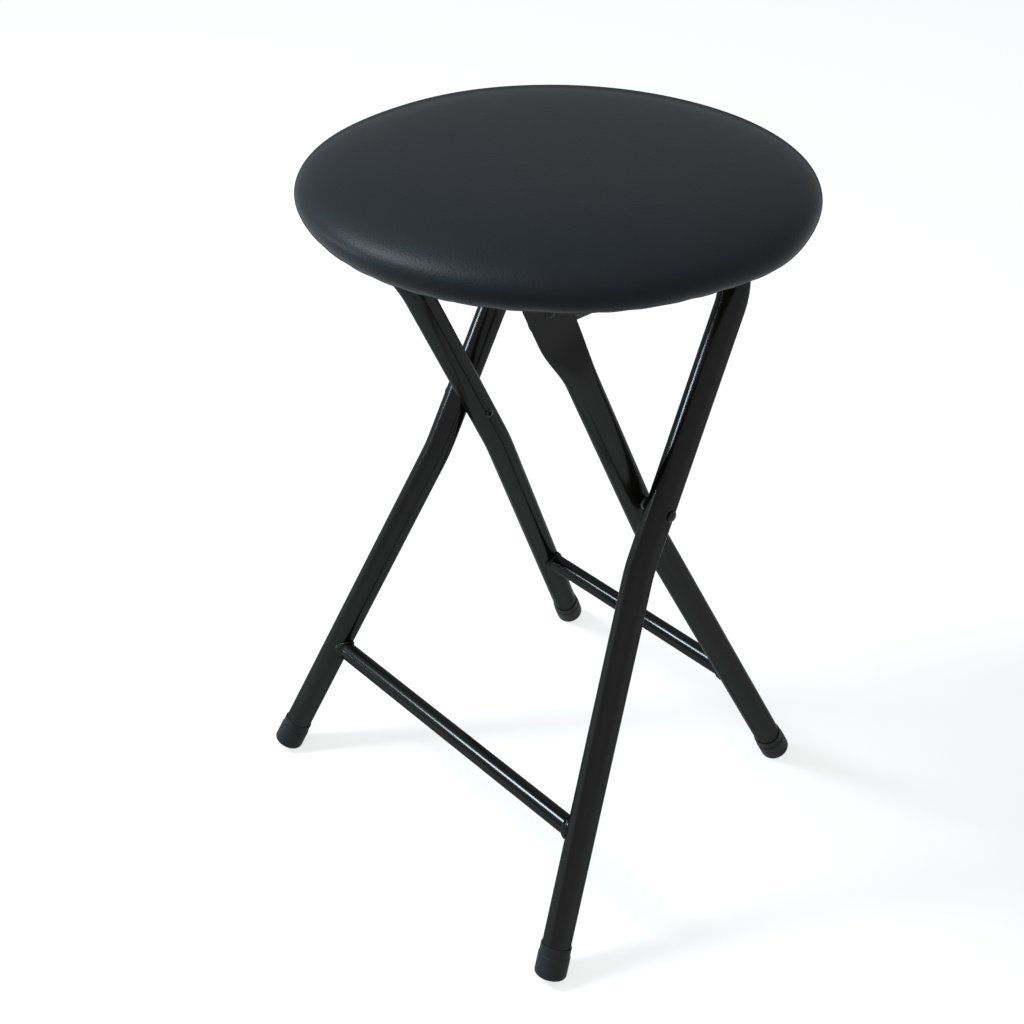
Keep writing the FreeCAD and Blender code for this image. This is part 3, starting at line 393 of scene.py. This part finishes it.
# Uneven coat: colour and gloss that drift over the surface in soft patches.
uneven_coat, given, gives = new_effect(
    "uneven_coat",
    [("Shade", COLOUR, (0.01, 0.01, 0.01, 1)), ("Pale Shade", COLOUR, (0.02, 0.02, 0.02, 1)),
     ("Patches", VALUE, 30.0), ("Glossiest", VALUE, 0.2), ("Dullest", VALUE, 0.3)],
    [("Color", COLOUR), ("Roughness", VALUE)])
patches = add(uneven_coat, "ShaderNodeTexNoise", {
    "Vector": place_on_object(uneven_coat), "Scale": given["Patches"], "Detail": 5.0, "Roughness": 0.62})
drift = between(uneven_coat, patches.outputs["Fac"], 0.0, 1.0, 0.32, 0.70)
tint = add(uneven_coat, "ShaderNodeMix", {
    0: drift, 6: given["Shade"], 7: given["Pale Shade"]}, data_type="RGBA")
gloss = between(uneven_coat, patches.outputs["Fac"], given["Glossiest"], given["Dullest"], 0.3, 0.7)
uneven_coat.links.new(tint.outputs[2], gives["Color"])
uneven_coat.links.new(gloss, gives["Roughness"])

# Pebbled skin: small rounded cells with creases between them, as on leather cloth and moulded plastic.
pebbled_skin, given, gives = new_effect(
    "pebbled_skin", [("Cells", VALUE, 900.0), ("Wander", VALUE, 0.4)], [("Height", VALUE), ("Crease", VALUE)])
warp = add(pebbled_skin, "ShaderNodeTexNoise", {
    "Vector": place_on_object(pebbled_skin), "Scale": given["Cells"], "Detail": 1.0})
centred = add(pebbled_skin, "ShaderNodeVectorMath", {
    0: warp.outputs["Color"], 1: (0.5, 0.5, 0.5)}, operation="SUBTRACT")
wander = add(pebbled_skin, "ShaderNodeMath", {0: given["Wander"], 1: given["Cells"]}, operation="DIVIDE")
pushed = add(pebbled_skin, "ShaderNodeVectorMath", {
    0: centred.outputs["Vector"], "Scale": wander.outputs["Value"]}, operation="SCALE")
strayed = add(pebbled_skin, "ShaderNodeVectorMath", {
    0: place_on_object(pebbled_skin), 1: pushed.outputs["Vector"]})
cells = add(pebbled_skin, "ShaderNodeTexVoronoi", {
    "Vector": strayed.outputs["Vector"], "Scale": given["Cells"]}, feature="SMOOTH_F1")
cells.inputs["Smoothness"].default_value = 0.6
domes = between(pebbled_skin, cells.outputs["Distance"], 1.0, 0.0, 0.1, 0.75)
creases = between(pebbled_skin, cells.outputs["Distance"], 0.0, 1.0, 0.5, 0.8)
pebbled_skin.links.new(domes, gives["Height"])
pebbled_skin.links.new(creases, gives["Crease"])


def shared(tree, effect, **values):
    """Places a shared effect in a finish with its own values, and returns its outputs."""
    group = add(tree, "ShaderNodeGroup", node_tree=effect)
    for label, value in values.items():
        group.inputs[label.replace("_", " ")].default_value = value
    return group.outputs


vinyl, tree, shader = new_finish("black_seat_vinyl", Specular_IOR_Level=0.10)
coat = shared(tree, uneven_coat, Shade=(0.0069, 0.0086, 0.0100, 1), Pale_Shade=(0.0088, 0.0107, 0.0124, 1),
              Patches=14.0, Glossiest=0.42, Dullest=0.48)
grain = shared(tree, pebbled_skin, Cells=850.0, Wander=0.9)
turned_away = add(tree, "ShaderNodeLayerWeight", {"Blend": 0.5}).outputs["Facing"]
dull_rim = between(tree, turned_away, 0.0, 1.0, 0.70, 0.95)
dulled = add(tree, "ShaderNodeMath", {0: coat["Roughness"], 1: dull_rim}, operation="MAXIMUM")
tree.links.new(coat["Color"], shader.inputs["Base Color"])
tree.links.new(dulled.outputs["Value"], shader.inputs["Roughness"])
relief(tree, shader, grain["Height"], 0.00006)
dress(vinyl, cover)
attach(cover, "seat")
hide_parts("seat_cover")


# Foam pad: a round of open-cell foam glued on the board and lapped over its edge.
# It fills the cover from the board's face up, so it takes the cover's own crown and dips.
BOARD_EDGE = 0.138
BOARD_FACE = 0.4593
LAP_LEVEL = 0.4508
LAP_SLOPE = 2.3
FOAM_BELOW_SKIN = 0.0022
FOAM_INNER_RING = 0.07
RIM_RING = 40


def level_ring(ring, distance, height):
    """A round of points in the bearings of ring, at one distance and one height."""
    return [Vector((point.x, point.y, 0)).normalized() * distance + Vector((0, 0, height)) for point in ring]


foam_rings = []
for ring, (distance, height, slope) in zip(skin, cover_section):
    if distance < 0.002 or slope > LAP_SLOPE:
        continue
    foam_ring = []
    for point in ring:
        away = Vector((point.x, point.y, 0)).normalized()
        outward = away * math.sin(slope) + Vector((0, 0, math.cos(slope)))
        foam_ring.append(point - outward * FOAM_BELOW_SKIN)
    foam_rings.append(foam_ring)
foam_rings.append(level_ring(skin[RIM_RING], BOARD_EDGE, LAP_LEVEL))
foam_rings.append(level_ring(skin[RIM_RING], BOARD_EDGE, BOARD_FACE))
foam_rings.append(level_ring(skin[RIM_RING], FOAM_INNER_RING, BOARD_FACE))
crown = sum((point.z for point in foam_rings[0]), 0.0) / COVER_TURNS
corners = [Vector((0, 0, crown)), Vector((0, 0, BOARD_FACE))]
corners += [point for ring in foam_rings for point in ring]
faces = ring_faces(len(foam_rings), COVER_TURNS, 2)
last = 2 + (len(foam_rings) - 1) * COVER_TURNS
for turn in range(COVER_TURNS):
    after = (turn + 1) % COVER_TURNS
    faces.append((0, 2 + turn, 2 + after))
    faces.append((1, last + after, last + turn))
foam = new_piece("seat_foam_pad", corners, faces)

open_cell, tree, shader = new_finish("open_cell_foam", Specular_IOR_Level=0.1)
coat = shared(tree, uneven_coat, Shade=(0.70, 0.64, 0.48, 1), Pale_Shade=(0.78, 0.74, 0.62, 1),
              Patches=40.0, Glossiest=0.85, Dullest=0.95)
pores = shared(tree, pebbled_skin, Cells=1400.0, Wander=0.5)
tree.links.new(coat["Color"], shader.inputs["Base Color"])
tree.links.new(coat["Roughness"], shader.inputs["Roughness"])
relief(tree, shader, pores["Crease"], 0.0004)
dress(open_cell, foam)
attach(foam, "seat")
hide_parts("seat_foam")


# Staples: flat steel wire bent square, shot through the hem into the board by hand.
# They sit in a ring on the turned-in vinyl, a little uneven in turn and spacing.
STAPLES = 34
STAPLE_RING = 0.1285
STAPLE_CROWN = 0.010
WIRE_WIDE = 0.0012
WIRE_THICK = 0.0006
STAPLE_LEG = 0.0045
STAPLE_BEND = 0.0009
STAPLE_PROUD = 0.0006
SPACING_SLIP = 0.18
TWIST = 14
RING_SLIP = 0.0015


def swept_strip(path, side, wide, thick):
    """Corners and faces of a flat wire along a path in one plane; side is the direction across it."""
    corners = []
    for place, point in enumerate(path):
        before = path[max(place - 1, 0)]
        after = path[min(place + 1, len(path) - 1)]
        up = (after - before).normalized().cross(side)
        for across, rise in ((-1, -1), (1, -1), (1, 1), (-1, 1)):
            corners.append(point + side * across * wide / 2 + up * rise * thick / 2)
    faces = ring_faces(len(path), 4)
    last = 4 * (len(path) - 1)
    return corners, faces + [(0, 1, 2, 3), (last + 3, last + 2, last + 1, last)]


rng = random.Random(7)
staple_corners = []
staple_faces = []
half = STAPLE_CROWN / 2
bend = [(half - STAPLE_BEND + STAPLE_BEND * math.sin(a), STAPLE_BEND - STAPLE_BEND * math.cos(a))
        for a in (math.radians(15 * step) for step in range(7))]
right_half = bend + [(half, STAPLE_LEG)]
outline = [(-x, z) for x, z in reversed(right_half)] + right_half
for count in range(STAPLES):
    angle = 360 * (count + rng.uniform(-SPACING_SLIP, SPACING_SLIP)) / STAPLES
    turn = math.radians(angle + 90 + rng.uniform(-TWIST, TWIST))
    along = Vector((math.cos(turn), math.sin(turn), 0))
    side = Vector((-along.y, along.x, 0))
    reach = STAPLE_RING + rng.uniform(-RING_SLIP, RING_SLIP)
    bearing = math.radians(angle)
    middle = Vector((reach * math.cos(bearing), reach * math.sin(bearing), SEAT_UNDERSIDE - STAPLE_PROUD))
    path = [middle + along * x + Vector((0, 0, z)) for x, z in outline]
    made, found = swept_strip(path, side, WIRE_WIDE, WIRE_THICK)
    staple_faces += [tuple(len(staple_corners) + corner for corner in face) for face in found]
    staple_corners += made
staples = new_piece("hem_staples", staple_corners, staple_faces)
staples.data.shade_flat()

# Rubbed edges: a mask along sharp edges, broken up by noise, where paint or plating has worn.
rubbed_edges, given, gives = new_effect(
    "rubbed_edges", [("Width", VALUE, 0.001), ("Break Up", VALUE, 250.0), ("Reach", VALUE, 0.5)],
    [("Mask", VALUE)])
softened = add(rubbed_edges, "ShaderNodeBevel", {"Radius": given["Width"]}, samples=6)
plain = add(rubbed_edges, "ShaderNodeNewGeometry")
bent = add(rubbed_edges, "ShaderNodeVectorMath", {
    0: softened.outputs["Normal"], 1: plain.outputs["Normal"]}, operation="DOT_PRODUCT")
edge = between(rubbed_edges, bent.outputs["Value"], 1.0, 0.0, 0.78, 0.985)
crumbs = add(rubbed_edges, "ShaderNodeTexNoise", {
    "Vector": place_on_object(rubbed_edges), "Scale": given["Break Up"], "Detail": 4.0, "Roughness": 0.7})
worn = add(rubbed_edges, "ShaderNodeMath", {0: edge, 1: crumbs.outputs["Fac"]}, operation="MULTIPLY")
mask = between(rubbed_edges, worn.outputs["Value"], 0.0, 1.0, given["Reach"], 0.75)
rubbed_edges.links.new(mask, gives["Mask"])


def blended(tree, factor, colour, over):
    """The colour, going over to another one where factor is one."""
    return add(tree, "ShaderNodeMix", {0: factor, 6: colour, 7: over}, data_type="RGBA").outputs[2]


zinc, tree, shader = new_finish("bright_zinc_plating", Metallic=1.0)
coat = shared(tree, uneven_coat, Shade=(0.50, 0.50, 0.49, 1), Pale_Shade=(0.60, 0.60, 0.58, 1),
              Patches=700.0, Glossiest=0.28, Dullest=0.42)
rub = shared(tree, rubbed_edges, Width=0.0004, Break_Up=900.0, Reach=0.35)
tree.links.new(blended(tree, rub["Mask"], coat["Color"], (0.42, 0.42, 0.42, 1)), shader.inputs["Base Color"])
tree.links.new(coat["Roughness"], shader.inputs["Roughness"])
dress(zinc, staples)
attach(staples, "seat")


# Hinge brackets: angles pressed from 2 mm sheet and sprayed satin black, one each side.
# Their flanges screw up under the board, and their webs carry the seat's hinge rivets.
satin, tree, shader = new_finish("satin_black_spray", Specular_IOR_Level=0.35)
coat = shared(tree, uneven_coat, Shade=(0.009, 0.009, 0.0095, 1), Pale_Shade=(0.014, 0.014, 0.0145, 1),
              Patches=45.0, Glossiest=0.34, Dullest=0.46)
rub = shared(tree, rubbed_edges, Width=0.0009, Break_Up=420.0, Reach=0.42)
peel = add(tree, "ShaderNodeTexNoise", {"Vector": place_on_object(tree), "Scale": 700.0, "Detail": 2.0})
bare_edge = blended(tree, rub["Mask"], coat["Color"], (0.12, 0.118, 0.115, 1))
tree.links.new(bare_edge, shader.inputs["Base Color"])
tree.links.new(rub["Mask"], shader.inputs["Metallic"])
tree.links.new(coat["Roughness"], shader.inputs["Roughness"])
relief(tree, shader, peel.outputs["Fac"], 0.00005)
dress(satin, solids["hinge_bracket_right"], solids["hinge_bracket_left"])


# Rest saddles: blocks of moulded black nylon under the rear of the seat, two screws each.
# They drop over the top rail of the outer frame and hold the open stool square.
nylon, tree, shader = new_finish("moulded_black_nylon", Specular_IOR_Level=0.4)
coat = shared(tree, uneven_coat, Shade=(0.016, 0.016, 0.017, 1), Pale_Shade=(0.024, 0.024, 0.025, 1),
              Patches=60.0, Glossiest=0.26, Dullest=0.36)
spark = shared(tree, pebbled_skin, Cells=2600.0, Wander=0.8)
tree.links.new(coat["Color"], shader.inputs["Base Color"])
tree.links.new(coat["Roughness"], shader.inputs["Roughness"])
relief(tree, shader, spark["Height"], 0.00003)
dress(nylon, solids["rest_saddle_right"], solids["rest_saddle_left"])


# Screws: zinc-plated pan-head wood screws with a cross recess, six for the brackets and four for the saddles.
# Each is turned with its thread, and the recess is cut into the head.
HEAD_RADIUS = 0.004
HEAD_HEIGHT = 0.0026
SHANK_RADIUS = 0.002
THREAD_PITCH = 0.0014
THREAD_LENGTH = 0.0062
THREAD_DEPTH = 0.0006
CREST_FLAT = 0.0001
POINT_LENGTH = 0.002
RECESS_SPAN = 0.0046
RECESS_SLOT = 0.0011
RECESS_DEPTH = 0.0015
BRACKET_SCREW = 0.009
SADDLE_SCREW = 0.011


def screw_mesh(reach):
    """A screw standing head down on Z = 0, its shank going up by reach."""
    dome = (HEAD_RADIUS ** 2 + HEAD_HEIGHT ** 2) / (2 * HEAD_HEIGHT)
    section = []
    for step in range(11):
        distance = HEAD_RADIUS * step / 10
        section.append((distance, dome - HEAD_HEIGHT - math.sqrt(dome ** 2 - distance ** 2)))
    section.append((SHANK_RADIUS, 0.0))
    level = reach - THREAD_LENGTH
    while level < reach - POINT_LENGTH:
        section.append((SHANK_RADIUS - THREAD_DEPTH, level))
        section.append((SHANK_RADIUS - CREST_FLAT, level + THREAD_PITCH / 2))
        level += THREAD_PITCH
    section += [(SHANK_RADIUS * 0.5, reach - 0.0008), (0, reach - 0.0002)]
    screw = new_piece("screw_blank", *turned(section, 40))
    recess = bmesh.new()
    for turn in (0, math.pi / 2):
        block = bmesh.ops.create_cube(recess, size=1.0)["verts"]
        for corner in block:
            deep = corner.co.z > 0
            corner.co.x *= RECESS_SPAN * (0.55 if deep else 1.0)
            corner.co.y *= RECESS_SLOT * (0.8 if deep else 1.0)
            corner.co.z = -HEAD_HEIGHT + (RECESS_DEPTH if deep else -0.001)
        bmesh.ops.rotate(recess, verts=block, matrix=Matrix.Rotation(turn, 3, "Z"))
    cutter_mesh = bpy.data.meshes.new("recess_cutter")
    recess.to_mesh(cutter_mesh)
    cutter = bpy.data.objects.new("recess_cutter", cutter_mesh)
    bpy.context.scene.collection.objects.link(cutter)
    cut = screw.modifiers.new("cross_recess", "BOOLEAN")
    cut.object = cutter
    cut.solver = "EXACT"
    cut.use_self = True
    mesh = bpy.data.meshes.new_from_object(screw.evaluated_get(bpy.context.evaluated_depsgraph_get()))
    bpy.data.objects.remove(screw)
    bpy.data.objects.remove(cutter)
    return mesh


def set_screws(name, mesh, places, level):
    """One piece of like screws, each turned to its own angle."""
    joined = bmesh.new()
    for x, y in places:
        before = len(joined.verts)
        joined.from_mesh(mesh)
        joined.verts.ensure_lookup_table()
        seat_it = Matrix.Translation((x, y, level)) @ Matrix.Rotation(rng.uniform(0, math.pi), 4, "Z")
        bmesh.ops.transform(joined, matrix=seat_it, verts=joined.verts[before:])
    data = bpy.data.meshes.new(name)
    joined.to_mesh(data)
    data.shade_smooth()
    data.set_sharp_from_angle(angle=math.radians(32))
    screws = bpy.data.objects.new(name, data)
    bpy.context.scene.collection.objects.link(screws)
    dress(zinc, screws)
    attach(screws, "seat")
    return screws


FLANGE_UNDERSIDE = 0.447
SADDLE_EAR_UNDERSIDE = 0.445


def screw_places(node, count):
    """Middles of two like rows of screws, one row each side, from the box that all of them fill."""
    low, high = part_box(node)
    first = low.y + HEAD_RADIUS
    step = (high.y - HEAD_RADIUS - first) / (count - 1)
    across = high.x - HEAD_RADIUS
    return [(side * across, first + step * place) for side in (1, -1) for place in range(count)]


bracket_places = screw_places("bracket_screws", 3)
saddle_places = screw_places("saddle_screws", 2)
bracket_set = set_screws("bracket_pan_screws", screw_mesh(BRACKET_SCREW), bracket_places, FLANGE_UNDERSIDE)
saddle_set = set_screws("saddle_pan_screws", screw_mesh(SADDLE_SCREW), saddle_places, SADDLE_EAR_UNDERSIDE)
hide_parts("bracket_screws")
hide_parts("saddle_screws")


# Hinge rivets and washers: black steel rivets through bracket, washer and flattened leg end.
# The washers are bright zinc and keep the paint of bracket and leg apart.
rivet_black, tree, shader = new_finish("black_rivet_steel", Specular_IOR_Level=0.2)
coat = shared(tree, uneven_coat, Shade=(0.007, 0.007, 0.0075, 1), Pale_Shade=(0.012, 0.012, 0.0125, 1),
              Patches=160.0, Glossiest=0.30, Dullest=0.42)
rub = shared(tree, rubbed_edges, Width=0.0005, Break_Up=700.0, Reach=0.42)
bare_edge = blended(tree, rub["Mask"], coat["Color"], (0.09, 0.088, 0.086, 1))
tree.links.new(bare_edge, shader.inputs["Base Color"])
tree.links.new(rub["Mask"], shader.inputs["Metallic"])
tree.links.new(coat["Roughness"], shader.inputs["Roughness"])
dress(rivet_black, solids["hinge_rivet_right"], solids["hinge_rivet_left"])
dress(zinc, solids["hinge_washer_right"], solids["hinge_washer_left"])


# Leg tubes and crossbars: 19 mm and 13 mm steel tube, bent, pressed flat at the inner legs' upper ends,
# notched and welded, then powder coated gloss black all over. The gloss is in the coat's clear upper skin,
# and is weaker where the tube turns away.
powder, tree, shader = new_finish(
    "gloss_black_powder", Coat_IOR=1.27, Coat_Roughness=0.17, Specular_IOR_Level=0.01)
# The slight warmth of these two blacks is a painted reflection of a warm floor; the black itself is the coat's
# own colour.
coat = shared(tree, uneven_coat, Shade=(0.0035, 0.0034, 0.0026, 1), Pale_Shade=(0.0049, 0.0046, 0.0035, 1),
              Patches=38.0, Glossiest=0.30, Dullest=0.42)
peel = add(tree, "ShaderNodeTexNoise", {"Vector": place_on_object(tree), "Scale": 420.0, "Detail": 1.5})
turned_away = add(tree, "ShaderNodeLayerWeight", {"Blend": 0.5}).outputs["Facing"]
tree.links.new(between(tree, turned_away, 1.0, 0.06, 0.25, 0.62), shader.inputs["Coat Weight"])
tree.links.new(coat["Color"], shader.inputs["Base Color"])
tree.links.new(coat["Roughness"], shader.inputs["Roughness"])
relief(tree, shader, peel.outputs["Fac"], 0.00006)
dress(powder, solids["inner_leg_right"], solids["inner_leg_left"], solids["inner_crossbar"])
dress(powder, solids["outer_frame_tube"], solids["outer_crossbar"])


# Weld beads: a rippled run of weld round each end of both crossbars, under the same powder coat.
# Each follows the seam where the bar meets the slanting leg.
TUBE_RADIUS = 0.0095
BEAD_PATH = 0.0073
BEAD_REACH = 0.0009
BEAD_SPREAD = 1.15
BEAD_STEPS = 192
BEAD_SIDES = 12
RIPPLES = 22


def weld_bead(name, body, bar_middle, leg_point, leg_along):
    """A rippled bead round a bar along X at bar_middle (y, z), against a leg through leg_point."""
    along = Vector(leg_along).normalized()
    side = math.copysign(1, leg_point[0])
    corners = []
    for step in range(BEAD_STEPS):
        turn = 2 * math.pi * step / BEAD_STEPS
        ripple = RIPPLES * step / BEAD_STEPS % 1
        swell = 1 - 0.42 * ripple ** 2 + 0.12 * noise.noise(Vector((step * 0.11, side, bar_middle[0] * 90)))
        out = Vector((0, math.cos(turn), math.sin(turn)))
        point = Vector((0, *bar_middle)) + out * BEAD_PATH
        # Where a line along X from the middle of the stool meets the leg's surface.
        offset = Vector((0, point.y, point.z)) - Vector(leg_point)
        a = 1 - along.x ** 2
        b = offset.x - along.x * offset.dot(along)
        c = offset.length_squared - offset.dot(along) ** 2 - TUBE_RADIUS ** 2
        root = math.sqrt(max(b * b - a * c, 0))
        point.x = min((-b + root) / a, (-b - root) / a, key=abs) - side * BEAD_REACH
        for corner in range(BEAD_SIDES):
            lean = 2 * math.pi * corner / BEAD_SIDES
            reach = BEAD_REACH * swell
            spread = Vector((side * math.sin(lean) * reach * BEAD_SPREAD, 0, 0))
            corners.append(point + out * math.cos(lean) * reach + spread)
    faces = []
    for step in range(BEAD_STEPS):
        for corner in range(BEAD_SIDES):
            here = step * BEAD_SIDES
            after = (step + 1) % BEAD_STEPS * BEAD_SIDES
            beside = (corner + 1) % BEAD_SIDES
            faces.append((here + corner, here + beside, after + beside, after + corner))
    bead = new_piece(name, corners, faces)
    dress(powder, bead)
    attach(bead, body)


for side, word in ((1, "right"), (-1, "left")):
    weld_bead("outer_weld_" + word, "outer_frame", (-0.09235, 0.08828),
              (side * 0.14482, -0.13270, 0.00645), (side * -0.18224, 0.43488, 0.88185))
    weld_bead("inner_weld_" + word, "inner_frame", (0.09253, 0.09367),
              (side * 0.11178, 0.13557, 0.00639), (side * -0.14954, -0.43732, 0.88679))


# Pivot rivets and spacers: black rivets through both frames where they cross.
# A nylon spacer on each keeps the tubes from rubbing.
dress(rivet_black, solids["pivot_rivet_right"], solids["pivot_rivet_left"])
dress(nylon, solids["pivot_spacer_right"], solids["pivot_spacer_left"])


# Foot caps: black rubber cups pushed over the tube ends, with a rounded sole.
# They are matt, and pick up floor dust low down.
rubber, tree, shader = new_finish("matt_black_rubber", Specular_IOR_Level=0.15)
coat = shared(tree, uneven_coat, Shade=(0.0092, 0.0092, 0.0090, 1), Pale_Shade=(0.0128, 0.0126, 0.0122, 1),
              Patches=90.0, Glossiest=0.52, Dullest=0.66)
skin_grain = shared(tree, pebbled_skin, Cells=1900.0, Wander=0.9)
height = add(tree, "ShaderNodeSeparateXYZ", {"Vector": place_on_object(tree)})
low = between(tree, height.outputs["Z"], 0.28, 0.0, 0.0, 0.010)
specks = add(tree, "ShaderNodeTexNoise", {"Vector": place_on_object(tree), "Scale": 600.0, "Detail": 4.0})
dust = add(tree, "ShaderNodeMath", {0: low, 1: specks.outputs["Fac"]}, operation="MULTIPLY")
dusty = blended(tree, dust.outputs["Value"], coat["Color"], (0.09, 0.085, 0.075, 1))
tree.links.new(dusty, shader.inputs["Base Color"])
tree.links.new(coat["Roughness"], shader.inputs["Roughness"])
relief(tree, shader, skin_grain["Height"], 0.00003)
for place in ("front_right", "front_left", "rear_right", "rear_left"):
    dress(rubber, solids["foot_cap_" + place])


# Floor: a plain white sweep that keeps the stool's soft shadow. What the camera sees of it,
# straight or mirrored, is lifted to white.
FLOOR_HALF = 40.0
floor = new_piece("studio_floor", [(-FLOOR_HALF, -FLOOR_HALF, 0), (FLOOR_HALF, -FLOOR_HALF, 0),
                                   (FLOOR_HALF, FLOOR_HALF, 0), (-FLOOR_HALF, FLOOR_HALF, 0)], [(0, 1, 2, 3)])
pale, tree, shader = new_finish(
    "white_floor", Base_Color=(0.23, 0.23, 0.23, 1), Roughness=0.9, Specular_IOR_Level=0.0,
    Emission_Color=(1, 1, 1, 1))
seen = add(tree, "ShaderNodeLightPath").outputs
mirrored = add(tree, "ShaderNodeMath", {
    0: seen["Is Glossy Ray"], 1: seen["Is Transmission Ray"]}, operation="MAXIMUM")
any_way = add(tree, "ShaderNodeMath", {
    0: seen["Is Camera Ray"], 1: mirrored.outputs["Value"]}, operation="MAXIMUM")
tree.links.new(between(tree, any_way.outputs["Value"], 0.0, 0.74), shader.inputs["Emission Strength"])
dress(pale, floor)


# Light: two window-like panels on the camera's left, one high and one low,
# in a soft surround that is paler on the camera's right.
def window_light(name, toward, lift_angle, distance, wide, tall, power, colour):
    """An area light aimed at the seat; toward is its bearing from +Y towards +X, in degrees."""
    lamp = bpy.data.lights.new(name, "AREA")
    lamp.shape = "RECTANGLE"
    lamp.size = wide
    lamp.size_y = tall
    lamp.energy = power
    lamp.color = colour
    panel = bpy.data.objects.new(name, lamp)
    bearing = math.radians(toward)
    rise = math.radians(lift_angle)
    away = Vector((math.sin(bearing) * math.cos(rise), math.cos(bearing) * math.cos(rise), math.sin(rise)))
    aim = Vector((0, 0, 0.3))
    panel.location = aim + away * distance
    panel.rotation_euler = away.to_track_quat("Z", "Y").to_euler()
    panel.visible_camera = False
    bpy.context.scene.collection.objects.link(panel)


DAYLIGHT = (0.75, 0.90, 1.0)
WINDOW_DISTANCE = 2.4
window_light("high_window", -134, 47, WINDOW_DISTANCE, 0.34, 0.84, 88, DAYLIGHT)
window_light("low_window", -130, 9, WINDOW_DISTANCE, 0.50, 0.16, 17, DAYLIGHT)

surround = bpy.data.worlds.new("pale_surround")
surround.use_nodes = True
sky = surround.node_tree
sky_light = sky.nodes["Background"]
sky_light.inputs["Color"].default_value = (0.95, 0.98, 1, 1)
direction = add(sky, "ShaderNodeTexCoord").outputs["Generated"]
paler_side = add(sky, "ShaderNodeVectorMath", {
    0: direction, 1: (0.72, -0.25, 0.647)}, operation="DOT_PRODUCT")
softness = add(sky, "ShaderNodeMapRange", {
    "Value": paler_side.outputs["Value"], "From Min": -0.10, "From Max": 0.95, "To Min": 0.46, "To Max": 0.92},
    interpolation_type="SMOOTHSTEP")
sky.links.new(softness.outputs["Result"], sky_light.inputs["Strength"])
bpy.context.scene.world = surround


# Camera: stands in front of the stool's right side, looking down on the seat as the photograph does.
lens = bpy.data.cameras.new("photo_camera")
lens.sensor_width = 36.0
lens.lens = 49.545
camera = bpy.data.objects.new("photo_camera", lens)
camera.location = (0.55239, -0.54329, 0.76635)
camera.rotation_euler = [math.radians(turn) for turn in (55.2667, -0.1453, 47.4540)]
bpy.context.scene.collection.objects.link(camera)
bpy.context.scene.camera = camera
bpy.context.scene.view_settings.view_transform = "Standard"
